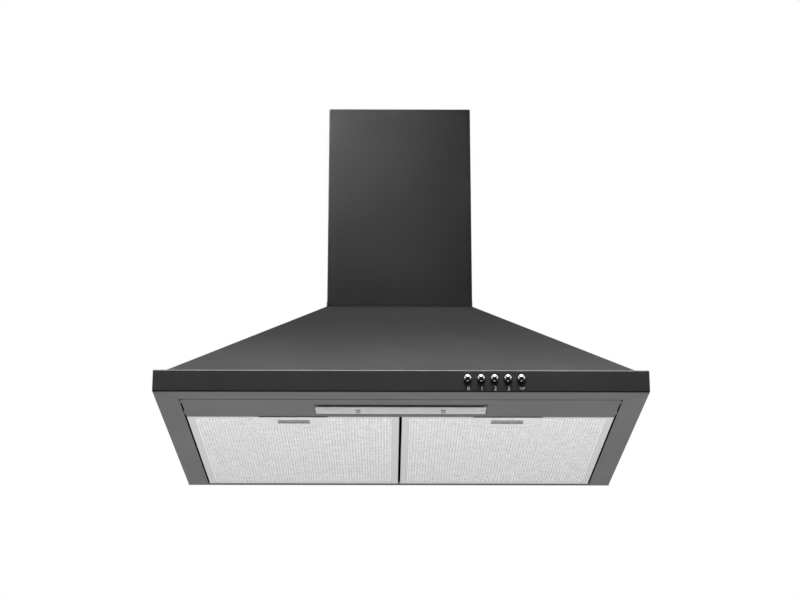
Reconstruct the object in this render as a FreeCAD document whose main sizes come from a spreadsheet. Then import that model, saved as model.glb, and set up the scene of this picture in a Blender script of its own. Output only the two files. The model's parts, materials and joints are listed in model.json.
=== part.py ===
import FreeCAD, Part
import math
import os
import re
import Sketcher

# Wall-mounted chimney range hood, in millimetres. X runs to the right, Y into the wall and
# Z up. The wall face is Y = 0 and the origin lies between the two wall screws. Heights in
# the expressions below start at the hood's underside, which each sub-part's Placement puts
# at its level under the origin.

DOC = FreeCAD.newDocument("RangeHood")
SHEET = DOC.addObject("Spreadsheet::Sheet", "Sizes")

SIZES = {
    # sheet-metal body
    "hood_width": 600, "hood_depth": 480, "band_height": 28, "canopy_rise": 182,
    "ledge_width": 10, "ledge_lap": 8, "sheet_gauge": 1, "fold_radius": 1.8,
    "front_rim": 33, "side_rim": 29.2, "rim_lip": 12, "mitre_gap": 0.5,
    "fit_gap": 0.3, "fixing_height": 120, "overrun": 1,
    # chimney
    "chimney_width": 200, "chimney_depth": 180, "chimney_height": 295, "seat_height": 28,
    "cover_lip": 12, "telescope_gap": 0.4, "upper_drop": 2,
    # wall fixing
    "wall_screw_pitch": 250, "wall_screw_hole": 3, "hanger_pitch": 320, "hanger_height": 70,
    "keyhole_radius": 5, "keyhole_slot": 2.6, "keyhole_rise": 11,
    # underside
    "panel_depth": 78.1, "panel_gap": 2, "panel_side_gap": 2, "panel_recess": 0.1,
    "panel_lip": 4, "panel_tab_width": 14, "panel_tab_inset": 7, "panel_tab_lap": 8,
    "dip_rise": 2, "dip_lead": 0.5, "rail_depth": 7, "rail_height": 14,
    # filters
    "filter_side_gap": 2, "filter_middle_gap": 3.1, "filter_gap": 0.7,
    "filter_recess": 0, "filter_thickness": 9, "filter_border": 9.8, "filter_heel": 11.5,
    "filter_fold": 1, "nose_radius": 3, "mesh_thickness": 7.6,
    "peg_radius": 2, "peg_play": 0.08, "peg_tip": 0.175, "peg_middle_gap": 0.19,
    "ear_thickness": 1, "middle_ear_thickness": 1.4, "ear_reach": 3, "dimple_radius": 1.44,
    "dimple_depth": 1.2,
    # filter latches
    "latch_offset": 135, "latch_plate_width": 87, "latch_plate_depth": 46,
    "latch_plate_gauge": 0.6, "latch_inset": 12.4, "latch_cup_width": 40,
    "latch_cup_depth": 12, "latch_cup_height": 7, "latch_wall": 1.2, "latch_travel": 4,
    "latch_play": 0.6, "tongue_width": 24, "tongue_thickness": 1.5, "tongue_reach": 3,
    "latch_coil": 2.4, "latch_wire": 0.35, "latch_spring_length": 9, "latch_shoe": 4,
    "latch_room_margin": 6, "latch_room_gap": 2, "tongue_slot_play": 0.5,
    "spring_stop_width": 12, "spring_stop_rise": 1,
    # lamps
    "lamp_width": 212, "lamp_depth": 31, "lamp_front": 69.5, "lamp_crown": 1.5,
    "lamp_gauge": 1.6, "lamp_play": 0.8, "tray_height": 42, "tray_wall": 0.8,
    "bulb_radius": 12.5, "bulb_length": 55, "bulb_cap_radius": 7, "bulb_cap_length": 20,
    "holder_radius": 13, "holder_length": 27, "lamp_pin_radius": 1, "lamp_pin_play": 0.08,
    "lamp_pin_rise": 2.7, "lamp_pin_past": 0.5, "lamp_hinge_gap": 2.2, "lamp_ear": 3,
    "lamp_ear_width": 4, "tray_margin": 6,
    "tray_side_gap": 4, "bulb_clearance": 6,
    # push buttons
    "button_first": 80.1, "button_pitch": 16.2, "button_height": 17, "button_radius": 4.2,
    "button_reach": 3.6, "button_dome": 1.9, "button_travel": 3, "button_body": 8,
    "stem_radius": 1.8, "stem_length": 16, "bush_flange": 5.35, "bush_lip": 0.9,
    "bush_play": 0.25, "bush_wall": 0.6, "bush_depth": 5, "switch_setback": 13,
    "switch_depth": 13, "switch_height": 22.7, "switch_margin": 9, "stem_play": 0.2,
    "stem_end_gap": 0.5,
    "button_coil": 3, "button_wire": 0.3,
    # fan
    "fan_depth": 90, "fan_height": 110, "fan_housing_depth": 126, "fan_wall": 2,
    "scroll_radius": 78, "scroll_step": 7, "inlet_radius": 58, "impeller_radius": 70,
    "impeller_inner": 57, "impeller_length": 100, "impeller_margin": 5, "ring_gauge": 2.5,
    "blade_gauge": 1.4, "blade_tilt": 28, "blade_foot": 0.6, "blade_margin": 1,
    "disc_gap": 6, "hub_radius": 10, "hub_length": 12,
    "shaft_radius": 4, "shaft_play": 0.08, "shaft_inset": 8, "shaft_end_gap": 2,
    "motor_radius": 44, "motor_length": 47,
    "bracket_radius": 52, "bracket_gauge": 2, "motor_bush_radius": 6, "motor_bush_length": 6,
    "motor_bush_circle": 45, "nut_length": 6, "nut_radius": 7.5, "guard_gauge": 2,
    "guard_bar": 3, "guard_rim_out": 6, "guard_rim_in": 1,
    # outlet
    "duct_radius": 60, "collar_wall": 2, "collar_height": 45, "collar_flange": 8,
    "collar_flange_gauge": 2, "flap_height": 17, "flap_gauge": 1.2, "flap_gap": 0.7,
    "flap_stop": 2.5, "flap_stop_gauge": 1.5, "stop_bite": 0.5, "flap_split": 0.6,
    "damper_pin_radius": 1.5, "damper_play": 0.08, "barrel_radius": 2.8,
    "barrel_reach": 50, "barrel_middle": 26, "barrel_gap": 3,
    # electrics
    "capacitor_radius": 15, "capacitor_length": 55, "clip_gauge": 1.3, "clip_gap": 0.3,
    "clip_foot_gauge": 1.7, "clip_foot_height": 18, "clip_width": 12,
    "capacitor_setback": 10, "terminal_width": 70,
    "terminal_height": 46, "terminal_depth": 34, "terminal_wall": 2, "terminal_place": 76,
    "terminal_level": 40, "gland_hole": 4, "gland_radius": 9, "gland_length": 16,
    "gland_neck_wall": 1.5, "gland_x": 78, "gland_y": 28,
    # wall bracket of the upper cover, and screws
    "bracket_height": 30, "bracket_arm": 26, "bracket_sheet": 1.5, "bracket_top_gap": 12,
    "bracket_hole": 3, "bracket_pitch": 110, "bracket_screw_shift": 4,
    "cover_screw_front": 144, "cover_screw_rear": 36, "screw_head_radius": 4,
    "screw_head_height": 1.8, "screw_radius": 1.9, "screw_play": 0.1, "screw_reach": 5,
}

for row, (alias, size) in enumerate(SIZES.items(), start=1):
    SHEET.set(f"A{row}", alias)
    SHEET.set(f"B{row}", str(size))
    SHEET.setAlias(f"B{row}", alias)
DOC.recompute()

WORD = re.compile(r"[a-z_]+")
SUB_PARTS = []


def bound(text):
    """The expression with each size's alias written as a cell of the sheet."""
    return WORD.sub(lambda m: f"Sizes.{m.group(0)}" if m.group(0) in SIZES else m.group(0), text)


def number(text):
    """The value of an expression, for shapes that are made in this file's own code."""
    return float(SHEET.evalExpression(bound(text)))


# Places that many pieces share, as expressions of the sheet's sizes.
HALF = "(hood_width / 2)"
FRONT = "(-hood_depth)"
CANOPY_HALF = f"({HALF} - ledge_width)"
CANOPY_FRONT = "(hood_depth - ledge_width)"
CANOPY_TOP = "(band_height + canopy_rise)"
COVER_HALF = "(chimney_width / 2)"
SEAT_HALF = f"({COVER_HALF} - sheet_gauge - fit_gap)"
SEAT_FRONT = "(chimney_depth - sheet_gauge - fit_gap)"
SIDE_RUN = f"({CANOPY_HALF} - {SEAT_HALF})"
FRONT_RUN = f"({CANOPY_FRONT} - {SEAT_FRONT})"
SIDE_WALL = f"(sheet_gauge * sqrt(canopy_rise^2 + {SIDE_RUN}^2) / canopy_rise)"
FRONT_WALL = f"(sheet_gauge * sqrt(canopy_rise^2 + {FRONT_RUN}^2) / canopy_rise)"
RIM_EDGE = f"({HALF} - side_rim)"
PANEL_FRONT = f"({FRONT} + front_rim + panel_gap)"
PANEL_REAR = f"({FRONT} + front_rim + panel_depth + panel_gap)"
FILTER_FRONT = f"({PANEL_REAR} + filter_gap)"
FILTER_REAR = "(-rail_depth - filter_gap)"
FILTER_MIDDLE = "(filter_recess + filter_thickness / 2)"
PEG_Y = f"({FILTER_REAR} - nose_radius)"
PEG_Z = "(filter_recess + nose_radius)"
FILTER_OUTER = f"({RIM_EDGE} - filter_side_gap)"
FILTER_INNER = "(filter_middle_gap / 2)"
LAMP_FRONT = f"({FRONT} + lamp_front)"
LAMP_REAR = f"({LAMP_FRONT} + lamp_depth)"
LAMP_HALF = "(lamp_width / 2)"
DIP_FRONT = f"({PANEL_FRONT} + dip_lead)"
DIP_REAR = f"({LAMP_FRONT} - lamp_hinge_gap)"
DIP_RUN = "(lamp_front - lamp_hinge_gap - front_rim - panel_gap - dip_lead)"
DIP_RADIUS = f"(({DIP_RUN}^2 + dip_rise^2) / (2 * dip_rise))"
LAMP_Y = f"(({LAMP_FRONT} + {LAMP_REAR}) / 2)"
BULB_Z = "(panel_recess + sheet_gauge + bulb_radius + bulb_clearance)"
TRAY_TOP = "(panel_recess + sheet_gauge + tray_height)"
FAN_X = "(duct_radius - collar_wall - scroll_radius - 2.5 * scroll_step)"
FAN_FRONT = "(-fan_depth - fan_housing_depth / 2)"
FAN_REAR = "(-fan_depth + fan_housing_depth / 2)"
MOTOR_REAR = f"({FAN_REAR} - fan_wall - motor_bush_length)"
MOTOR_FRONT = f"({MOTOR_REAR} - bracket_gauge - motor_length)"
SEAT_FLOOR = f"({CANOPY_TOP} + sheet_gauge)"
COLLAR_TOP = f"({SEAT_FLOOR} + collar_height)"
PIN_Z = f"({SEAT_FLOOR} + flap_height)"
UPPER_HALF = f"({COVER_HALF} - sheet_gauge - telescope_gap)"
UPPER_FRONT = "(chimney_depth - sheet_gauge - telescope_gap)"
UPPER_REAR = "(sheet_gauge + telescope_gap)"
UPPER_FOOT = f"({CANOPY_TOP} + seat_height + fit_gap)"
COVER_TOP = f"({CANOPY_TOP} + chimney_height)"
BUTTON_TIP = f"({FRONT} - button_reach)"
BUTTON_SHOULDER = f"({BUTTON_TIP} + button_body)"
SWITCH_FRONT = f"({FRONT} + switch_setback)"
BUSH_SLEEVE = "(button_radius + bush_play + bush_wall)"
TONGUE_LOW = "(panel_recess + panel_lip + fit_gap)"
CUP_FRONT = f"({FILTER_FRONT} + latch_inset)"
CUP_REAR = f"({CUP_FRONT} + latch_cup_depth)"
SPRING_REAR = f"({CUP_REAR} + latch_spring_length)"
SCREW_LEVEL = f"({CANOPY_TOP} + seat_height / 2)"
BRACKET_TOP = f"({COVER_TOP} - upper_drop - bracket_top_gap)"
BRACKET_LEVEL = f"({BRACKET_TOP} - bracket_height / 2)"
BRACKET_SCREW_Y = f"(-{UPPER_REAR} - sheet_gauge - bracket_arm / 2 - bracket_screw_shift)"

BUTTON_COUNT = 5
BLADE_COUNT = 28
MOTOR_BUSH_COUNT = 3
GUARD_RING_COUNT = 3
SPRING_TURNS = 5
SPRING_REST = 0.1
NEAR = 0.01


def button_x(i):
    """The place of a button along the band, from the left."""
    return f"(button_first + {i} * button_pitch)"


# Primitives. Each span is a pair of expressions, its low end and its high end.

def place(obj, x, y, z):
    """Binds an object's base point to three expressions."""
    for axis, text in zip("xyz", (x, y, z)):
        obj.setExpression(f"Placement.Base.{axis}", bound(f"({text})"))


def box(name, x_span, y_span, z_span):
    """A block between two corners."""
    obj = DOC.addObject("Part::Box", name)
    for side, (low, high) in zip(("Length", "Width", "Height"), (x_span, y_span, z_span)):
        obj.setExpression(side, bound(f"({high}) - ({low})"))
    place(obj, x_span[0], y_span[0], z_span[0])
    return obj


AXIS_TURN = {
    "X": FreeCAD.Rotation(FreeCAD.Vector(0, 1, 0), 90),
    "Y": FreeCAD.Rotation(FreeCAD.Vector(1, 0, 0), -90),
    "Z": FreeCAD.Rotation(),
}


def point_on(axis, span_low, across):
    """The base point of a rod, from its low end and its place across the axis."""
    if axis == "X":
        return (span_low, across[0], across[1])
    if axis == "Y":
        return (across[0], span_low, across[1])
    return (across[0], across[1], span_low)


def through(low, high):
    """A span that runs a little past both faces, for a hole that goes right through."""
    return (f"{low} - overrun", f"{high} + overrun")


def rod(name, axis, across, span, radius):
    """A cylinder along an axis, at a place across it."""
    obj = DOC.addObject("Part::Cylinder", name)
    obj.Placement = FreeCAD.Placement(FreeCAD.Vector(), AXIS_TURN[axis])
    obj.setExpression("Radius", bound(f"({radius})"))
    obj.setExpression("Height", bound(f"({span[1]}) - ({span[0]})"))
    place(obj, *point_on(axis, span[0], across))
    return obj


def fuse(name, *pieces):
    """One solid from pieces that meet."""
    obj = DOC.addObject("Part::MultiFuse", name)
    obj.Shapes = list(pieces)
    return obj


def cut(name, base, *tools):
    """A piece with one or more tools taken out of it."""
    obj = DOC.addObject("Part::Cut", name)
    obj.Base = base
    obj.Tool = tools[0] if len(tools) == 1 else fuse(f"{name}_tools", *tools)
    return obj


def group(name, *pieces):
    """Separate solids of one kind, kept together."""
    obj = DOC.addObject("Part::Compound", name)
    obj.Links = list(pieces)
    return obj


def pipe(name, axis, across, span, radius, bore):
    """A round tube along an axis."""
    outer = rod(f"{name}_outer", axis, across, span, radius)
    return cut(name, outer, rod(f"{name}_bore", axis, across, through(*span), bore))


def sub_part(obj, label):
    """Names a finished sub-part and sets it at the hood's level under the origin."""
    own = {path.lstrip("."): text for path, text in obj.ExpressionEngine}
    level = own.get("Placement.Base.z", "0")
    obj.Label = label
    obj.setExpression("Placement.Base.z", f"{level} - {bound('fixing_height')}")
    SUB_PARTS.append(obj)
    return obj


def made(label, shape, x, y, z, turn):
    """A sub-part whose shape is made in this file's own code, at its own place."""
    obj = DOC.addObject("Part::Feature", label)
    obj.Shape = shape
    obj.Placement = FreeCAD.Placement(FreeCAD.Vector(), turn)
    place(obj, x, y, z)
    return sub_part(obj, label)


def new_body(name):
    """A body with a way to reach its origin planes by their role."""
    body = DOC.addObject("PartDesign::Body", name)
    planes = {f.Role: f for f in body.Origin.OriginFeatures}
    return body, planes


def outline(body, plane, points, offset, name):
    """A closed outline whose corners are bound to the sheet, on an origin plane."""
    sketch = body.newObject("Sketcher::SketchObject", name)
    sketch.AttachmentSupport = [(plane, "")]
    sketch.MapMode = "FlatFace"
    sketch.setExpression("AttachmentOffset.Base.z", bound(f"({offset})"))
    add_loop(sketch, points)
    return sketch


def add_loop(sketch, points):
    """One closed loop of straight lines in an outline, its corners bound to the sheet."""
    corners = [FreeCAD.Vector(number(x), number(y), 0) for x, y in points]
    count = len(corners)
    lines = [sketch.addGeometry(Part.LineSegment(corners[i], corners[(i + 1) % count]))
             for i in range(count)]
    for i, line in enumerate(lines):
        sketch.addConstraint(Sketcher.Constraint("Coincident", line, 2, lines[(i + 1) % count], 1))
    for line, corner, (x, y) in zip(lines, corners, points):
        for kind, text, value in (("DistanceX", x, corner.x), ("DistanceY", y, corner.y)):
            index = sketch.addConstraint(Sketcher.Constraint(kind, -1, 1, line, 1, value))
            sketch.setExpression(f"Constraints[{index}]", bound(f"({text})"))


def drill(sketch, x, y, radius):
    """A round hole in an outline, bound to the sheet."""
    centre = FreeCAD.Vector(number(x), number(y), 0)
    size = number(radius)
    i = sketch.addGeometry(Part.Circle(centre, FreeCAD.Vector(0, 0, 1), size))
    for constraint, text in (
        (Sketcher.Constraint("DistanceX", -1, 1, i, 3, centre.x), x),
        (Sketcher.Constraint("DistanceY", -1, 1, i, 3, centre.y), y),
        (Sketcher.Constraint("Radius", i, size), radius),
    ):
        index = sketch.addConstraint(constraint)
        sketch.setExpression(f"Constraints[{index}]", bound(f"({text})"))


def pad(body, sketch, length):
    """Gives an outline its thickness."""
    feature = body.newObject("PartDesign::Pad", f"{sketch.Name}_pad")
    feature.Profile = sketch
    feature.setExpression("Length", bound(f"({length})"))
    sketch.Visibility = False
    return feature


def round_edges(body, feature, chosen, radius):
    """Rounds the edges of a body's feature that a test picks."""
    DOC.recompute()
    names = [f"Edge{i}" for i, edge in enumerate(feature.Shape.Edges, start=1) if chosen(edge)]
    fillet = body.newObject("PartDesign::Fillet", f"{body.Name}_folds")
    fillet.Base = (feature, names)
    fillet.setExpression("Radius", bound(f"({radius})"))
    return fillet


def ends_near(edge, test):
    """Whether both ends of an edge pass a test."""
    return all(test(vertex.Point) for vertex in edge.Vertexes)


def around(x, z, radius, degrees):
    """The expressions of a point on a circle in the XZ plane."""
    angle = math.radians(degrees)
    return (f"{x} + {radius} * {math.cos(angle):.6f}", f"{z} + {radius} * {math.sin(angle):.6f}")


def mirrored_span(side, low, high):
    """A span on the right of the hood, or its mirror image on the left."""
    return (low, high) if side > 0 else (f"-({high})", f"-({low})")


# Sheet-metal body

def base_frame():
    """Front and side band with its top ledge, bottom rims and their lips."""
    body, planes = new_body("base_frame_blank")
    rear = "-sheet_gauge"
    sketch = outline(body, planes["XY_Plane"], [
        (f"-{HALF}", rear), (f"-{HALF}", FRONT), (HALF, FRONT), (HALF, rear),
    ], "0", "band_outline")
    block = pad(body, sketch, "band_height")
    wide, deep = number(HALF), number("hood_depth")

    def is_fold(edge):
        on_face = lambda p: abs(abs(p.x) - wide) < NEAR or abs(p.y + deep) < NEAR
        behind = ends_near(edge, lambda p: p.y > -number("sheet_gauge") - NEAR)
        return ends_near(edge, on_face) and not behind

    round_edges(body, block, is_fold, "fold_radius")
    inside = box(
        "band_inside", (f"-({HALF} - sheet_gauge)", f"{HALF} - sheet_gauge"),
        (f"{FRONT} + sheet_gauge", "overrun"), ("sheet_gauge", "band_height - sheet_gauge"))
    top_half = f"({CANOPY_HALF} - ledge_lap)"
    top_hole = box(
        "ledge_opening", (f"-{top_half}", top_half),
        (f"-({CANOPY_FRONT} - ledge_lap)", "overrun"), ("band_height / 2", "band_height + overrun"))
    bottom_hole = box(
        "rim_opening", (f"-{RIM_EDGE}", RIM_EDGE), (f"{FRONT} + front_rim", "overrun"),
        ("-overrun", "band_height / 2"))
    mitres = [mitre(side) for side in (-1, 1)]
    button_holes = [
        rod(f"fascia_hole_{i}", "Y", (button_x(i), "button_height"),
            through(FRONT, f"{FRONT} + sheet_gauge"), BUSH_SLEEVE)
        for i in range(BUTTON_COUNT)
    ]
    folded = cut("folded_band", body, inside, top_hole, bottom_hole, *mitres, *button_holes)
    lips = [
        box(f"side_lip_{side > 0:d}", mirrored_span(side, RIM_EDGE, f"{RIM_EDGE} + sheet_gauge"),
            (f"{FRONT} + front_rim + mitre_gap", rear), ("sheet_gauge", "rim_lip"))
        for side in (-1, 1)
    ]
    lips.append(box(
        "front_lip", (f"-{RIM_EDGE} + mitre_gap", f"{RIM_EDGE} - mitre_gap"),
        (f"{FRONT} + front_rim - sheet_gauge", f"{FRONT} + front_rim"),
        ("sheet_gauge", "rim_lip")))
    sub_part(fuse("base_frame_joined", folded, *lips), "base_frame")


def mitre(side):
    """The open seam where the front and a side rim meet."""
    body, planes = new_body(f"mitre_{'right' if side > 0 else 'left'}")
    inner_x, inner_y = RIM_EDGE, f"({FRONT} + front_rim)"
    outer_x, outer_y = f"({HALF} - sheet_gauge)", f"({FRONT} + sheet_gauge)"
    half = "(mitre_gap / 2)"
    points = [
        (f"{inner_x} - {half}", inner_y), (f"{outer_x} - mitre_gap", outer_y),
        (outer_x, f"{outer_y} + mitre_gap"), (inner_x, f"{inner_y} + {half}"),
    ]
    if side < 0:
        points = [(f"-({x})", y) for x, y in reversed(points)]
    sketch = outline(body, planes["XY_Plane"], points, "-overrun", f"mitre_line_{side > 0:d}")
    pad(body, sketch, "sheet_gauge + 2 * overrun")
    return body


def frustum(name, half_low, half_high, front_low, front_high, rear):
    """A four-sided taper from the ledge to the canopy's top, flat at the back."""
    obj = DOC.addObject("Part::Wedge", name)
    obj.Placement = FreeCAD.Placement(
        FreeCAD.Vector(), FreeCAD.Rotation(FreeCAD.Vector(1, 0, 0), 90))
    for prop, text in (
        ("Xmin", f"-{half_low}"), ("Xmax", half_low), ("X2min", f"-{half_high}"),
        ("X2max", half_high), ("Zmin", rear), ("Zmax", front_low), ("Z2min", rear),
        ("Z2max", front_high), ("Ymin", "0"), ("Ymax", "canopy_rise"),
    ):
        obj.setExpression(prop, bound(f"({text})"))
    place(obj, "0", "0", "band_height")
    return obj


def canopy_shell():
    """The pyramid: a front and two sides of folded sheet, open above, below and behind."""
    outer = frustum(
        "canopy_outer", CANOPY_HALF, SEAT_HALF, CANOPY_FRONT, SEAT_FRONT, "sheet_gauge")
    inner = frustum(
        "canopy_inner", f"({CANOPY_HALF} - {SIDE_WALL})", f"({SEAT_HALF} - {SIDE_WALL})",
        f"({CANOPY_FRONT} - {FRONT_WALL})", f"({SEAT_FRONT} - {FRONT_WALL})", "-overrun")
    sub_part(cut("canopy_folded", outer, inner), "canopy_shell")


def back_panel():
    """The flat panel on the wall, with its screw holes and hanging keyholes."""
    body, planes = new_body("back_panel_blank")
    right = [(HALF, "0"), (HALF, "band_height"), (CANOPY_HALF, "band_height"),
             (SEAT_HALF, CANOPY_TOP)]
    left = [(f"-{x}", z) for x, z in reversed(right)]
    sketch = outline(body, planes["XZ_Plane"], right + left, "0", "back_outline")
    for side in ("-", ""):
        drill(sketch, f"{side}(wall_screw_pitch / 2)", "fixing_height", "wall_screw_hole")
    pad(body, sketch, "sheet_gauge")
    tools = []
    for side, place_x in (("left", "(-hanger_pitch / 2)"), ("right", "(hanger_pitch / 2)")):
        tools.append(rod(f"keyhole_{side}", "Y", (place_x, "hanger_height"),
                         through("-sheet_gauge", "0"), "keyhole_radius"))
        tools.append(box(f"keyslot_{side}",
                         (f"{place_x} - keyhole_slot", f"{place_x} + keyhole_slot"),
                         through("-sheet_gauge", "0"),
                         ("hanger_height", "hanger_height + keyhole_rise")))
        tools.append(rod(f"keyslot_end_{side}", "Y",
                         (place_x, "hanger_height + keyhole_rise"),
                         through("-sheet_gauge", "0"), "keyhole_slot"))
    sub_part(cut("back_panel_cut", body, *tools), "back_panel")


def rear_rail():
    """The rear rim of the underside, with the ears that the filter pegs turn in."""
    rail = box("rail_web", (f"-{RIM_EDGE} + fit_gap", f"{RIM_EDGE} - fit_gap"),
               ("-rail_depth", "-sheet_gauge"), ("0", "sheet_gauge"))
    upright = box("rail_upright", (f"-{RIM_EDGE} + fit_gap", f"{RIM_EDGE} - fit_gap"),
                  ("-rail_depth", "-rail_depth + sheet_gauge"),
                  ("sheet_gauge", "rail_height"))
    flange = box("rail_flange", (f"-{RIM_EDGE} + fit_gap", f"{RIM_EDGE} - fit_gap"),
                 ("-rail_depth", "-sheet_gauge"), ("rail_height", "rail_height + sheet_gauge"))
    ear_outer = f"({FILTER_OUTER} + filter_side_gap / 2 - ear_thickness / 2)"
    ears = []
    spans = [
        mirrored_span(-1, ear_outer, f"{ear_outer} + ear_thickness"),
        ("-middle_ear_thickness / 2", "middle_ear_thickness / 2"),
        mirrored_span(1, ear_outer, f"{ear_outer} + ear_thickness"),
    ]
    for i, span in enumerate(spans):
        plate = box(f"ear_plate_{i}", span, (f"{PEG_Y} - ear_reach", "-rail_depth"),
                    (f"{PEG_Z} - ear_reach", "rail_height"))
        hole = rod(f"ear_hole_{i}", "X", (PEG_Y, PEG_Z), through(*span),
                   "peg_radius + peg_play")
        ears.append(cut(f"ear_{i}", plate, hole))
    sub_part(fuse("rear_rail_joined", rail, upright, flange, *ears), "rear_rail")


def dip_block(name, growth):
    """The block under the rounded top of the dip in front of the lamp cover, its ends grown."""
    reach = f"({LAMP_HALF} + lamp_play + {growth})"
    blank = box(f"{name}_blank", (f"-{reach}", reach), (DIP_FRONT, DIP_REAR),
                ("panel_recess", "panel_recess + dip_rise + sheet_gauge"))
    return cut(name, blank, dip_roll(f"{name}_roll", reach, "sheet_gauge"))


def dip_roll(name, reach, inset):
    """The roll that the dip's sheet is bent round, its surface moved inwards."""
    return rod(name, "X", (DIP_FRONT, f"(panel_recess + {DIP_RADIUS})"),
               through(f"-{reach}", reach), f"{DIP_RADIUS} - {inset}")


def light_panel():
    """The strip in front of the filters, with the opening that the lamp cover fills.

    In front of the opening the sheet dips inwards in a round slope, and two tabs at each end
    join it to the side rims.
    """
    half = f"({RIM_EDGE} - panel_side_gap)"
    span = (f"-{half}", half)
    top = "panel_recess + sheet_gauge"
    sheet = box("panel_sheet", span, (PANEL_FRONT, PANEL_REAR), ("panel_recess", top))
    front_lip = box("panel_front_lip", span, (PANEL_FRONT, f"{PANEL_FRONT} + sheet_gauge"),
                    (top, f"{top} + rim_lip - sheet_gauge"))
    rear_lip = box("panel_rear_lip", span, (f"{PANEL_REAR} - sheet_gauge", PANEL_REAR),
                   (top, "panel_recess + panel_lip"))
    tabs = [
        box(f"panel_tab_{row}_{side > 0:d}",
            mirrored_span(side, f"{half} - panel_tab_lap", RIM_EDGE), y_span,
            (top, f"{top} + sheet_gauge"))
        for side in (-1, 1)
        for row, y_span in (
            ("front", (f"{PANEL_FRONT} + panel_tab_inset",
                       f"{PANEL_FRONT} + panel_tab_inset + panel_tab_width")),
            ("rear", (f"{PANEL_REAR} - panel_tab_inset - panel_tab_width",
                      f"{PANEL_REAR} - panel_tab_inset")))
    ]
    reach = f"({LAMP_HALF} + lamp_play)"
    opening = box(
        "lamp_opening", (f"-{reach}", reach), (DIP_REAR, f"{LAMP_REAR} + lamp_play"),
        through("0", top))
    under_dip = cut(
        "under_dip",
        box("under_dip_blank", (f"-{reach}", reach), (DIP_FRONT, f"{DIP_REAR} + overrun"),
            ("panel_recess - overrun", "panel_recess + dip_rise + sheet_gauge")),
        dip_roll("under_dip_roll", reach, "0"))
    joined = fuse("panel_joined", sheet, front_lip, rear_lip, dip_block("dip", "sheet_gauge"),
                  *tabs)
    sub_part(cut("light_panel_cut", joined, opening, under_dip), "light_panel")


# Chimney

def cover(label, half, front, rear, foot, top):
    """A three-sided chimney cover of folded sheet with a lip along each rear edge."""
    body, planes = new_body(f"{label}_body")
    lip_end = f"({half} - cover_lip)"
    inner = f"({half} - sheet_gauge)"
    inner_front = f"({front} - sheet_gauge)"
    inner_rear = f"({rear} + sheet_gauge)"
    right = [
        (half, f"-{front}"), (half, f"-{rear}"), (lip_end, f"-{rear}"),
        (lip_end, f"-{inner_rear}"), (inner, f"-{inner_rear}"), (inner, f"-{inner_front}"),
    ]
    left = [(f"-{x}", y) for x, y in reversed(right)]
    sketch = outline(body, planes["XY_Plane"], right + left, foot, f"{label}_outline")
    wall = pad(body, sketch, f"{top} - {foot}")
    wide, deep = number(half), number(front)

    def is_front_fold(edge):
        corner = lambda p: abs(abs(p.x) - wide) < NEAR and abs(p.y + deep) < NEAR
        ends = [vertex.Point for vertex in edge.Vertexes]
        return ends_near(edge, corner) and abs(ends[0].x - ends[1].x) < NEAR

    round_edges(body, wall, is_front_fold, "fold_radius")
    return body


def chimney():
    """The seat on the canopy, and the lower and upper covers."""
    tray = box("seat_outer", (f"-{SEAT_HALF}", SEAT_HALF),
               (f"-{SEAT_FRONT}", "-sheet_gauge - fit_gap"),
               (CANOPY_TOP, f"{CANOPY_TOP} + seat_height"))
    hollow = box("seat_inside", (f"-{SEAT_HALF} + {SIDE_WALL}", f"{SEAT_HALF} - {SIDE_WALL}"),
                 (f"-{SEAT_FRONT} + {FRONT_WALL}", f"-sheet_gauge - fit_gap - {SIDE_WALL}"),
                 (SEAT_FLOOR, f"{CANOPY_TOP} + seat_height + overrun"))
    duct_hole = rod("seat_duct_hole", "Z", ("0", "-fan_depth"),
                    through(CANOPY_TOP, SEAT_FLOOR), "duct_radius - collar_wall")
    cord_hole = rod("seat_cord_hole", "Z", ("gland_x", "-gland_y"),
                    through(CANOPY_TOP, SEAT_FLOOR), "gland_hole + gland_neck_wall")
    screw_holes = [
        rod(f"seat_screw_hole_{row}", "X", (f"(-cover_screw_{row})", SCREW_LEVEL),
            through(f"-{COVER_HALF}", COVER_HALF), "screw_radius + screw_play")
        for row in ("front", "rear")
    ]
    sub_part(cut("chimney_seat_cut", tray, hollow, duct_hole, cord_hole, *screw_holes),
             "chimney_seat")
    lower = cover("lower_cover", COVER_HALF, "chimney_depth", "0", CANOPY_TOP, COVER_TOP)
    sub_part(cut("lower_cover_drilled", lower, *screw_holes), "chimney_lower_cover")
    upper = cover("upper_cover", UPPER_HALF, UPPER_FRONT, UPPER_REAR, UPPER_FOOT,
                  f"({COVER_TOP} - upper_drop)")
    bracket_screw_hole = rod(
        "upper_screw_hole", "X", (BRACKET_SCREW_Y, BRACKET_LEVEL),
        through(f"-{UPPER_HALF}", UPPER_HALF), "screw_radius + screw_play")
    sub_part(cut("upper_cover_drilled", upper, bracket_screw_hole), "chimney_upper_cover")


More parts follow.
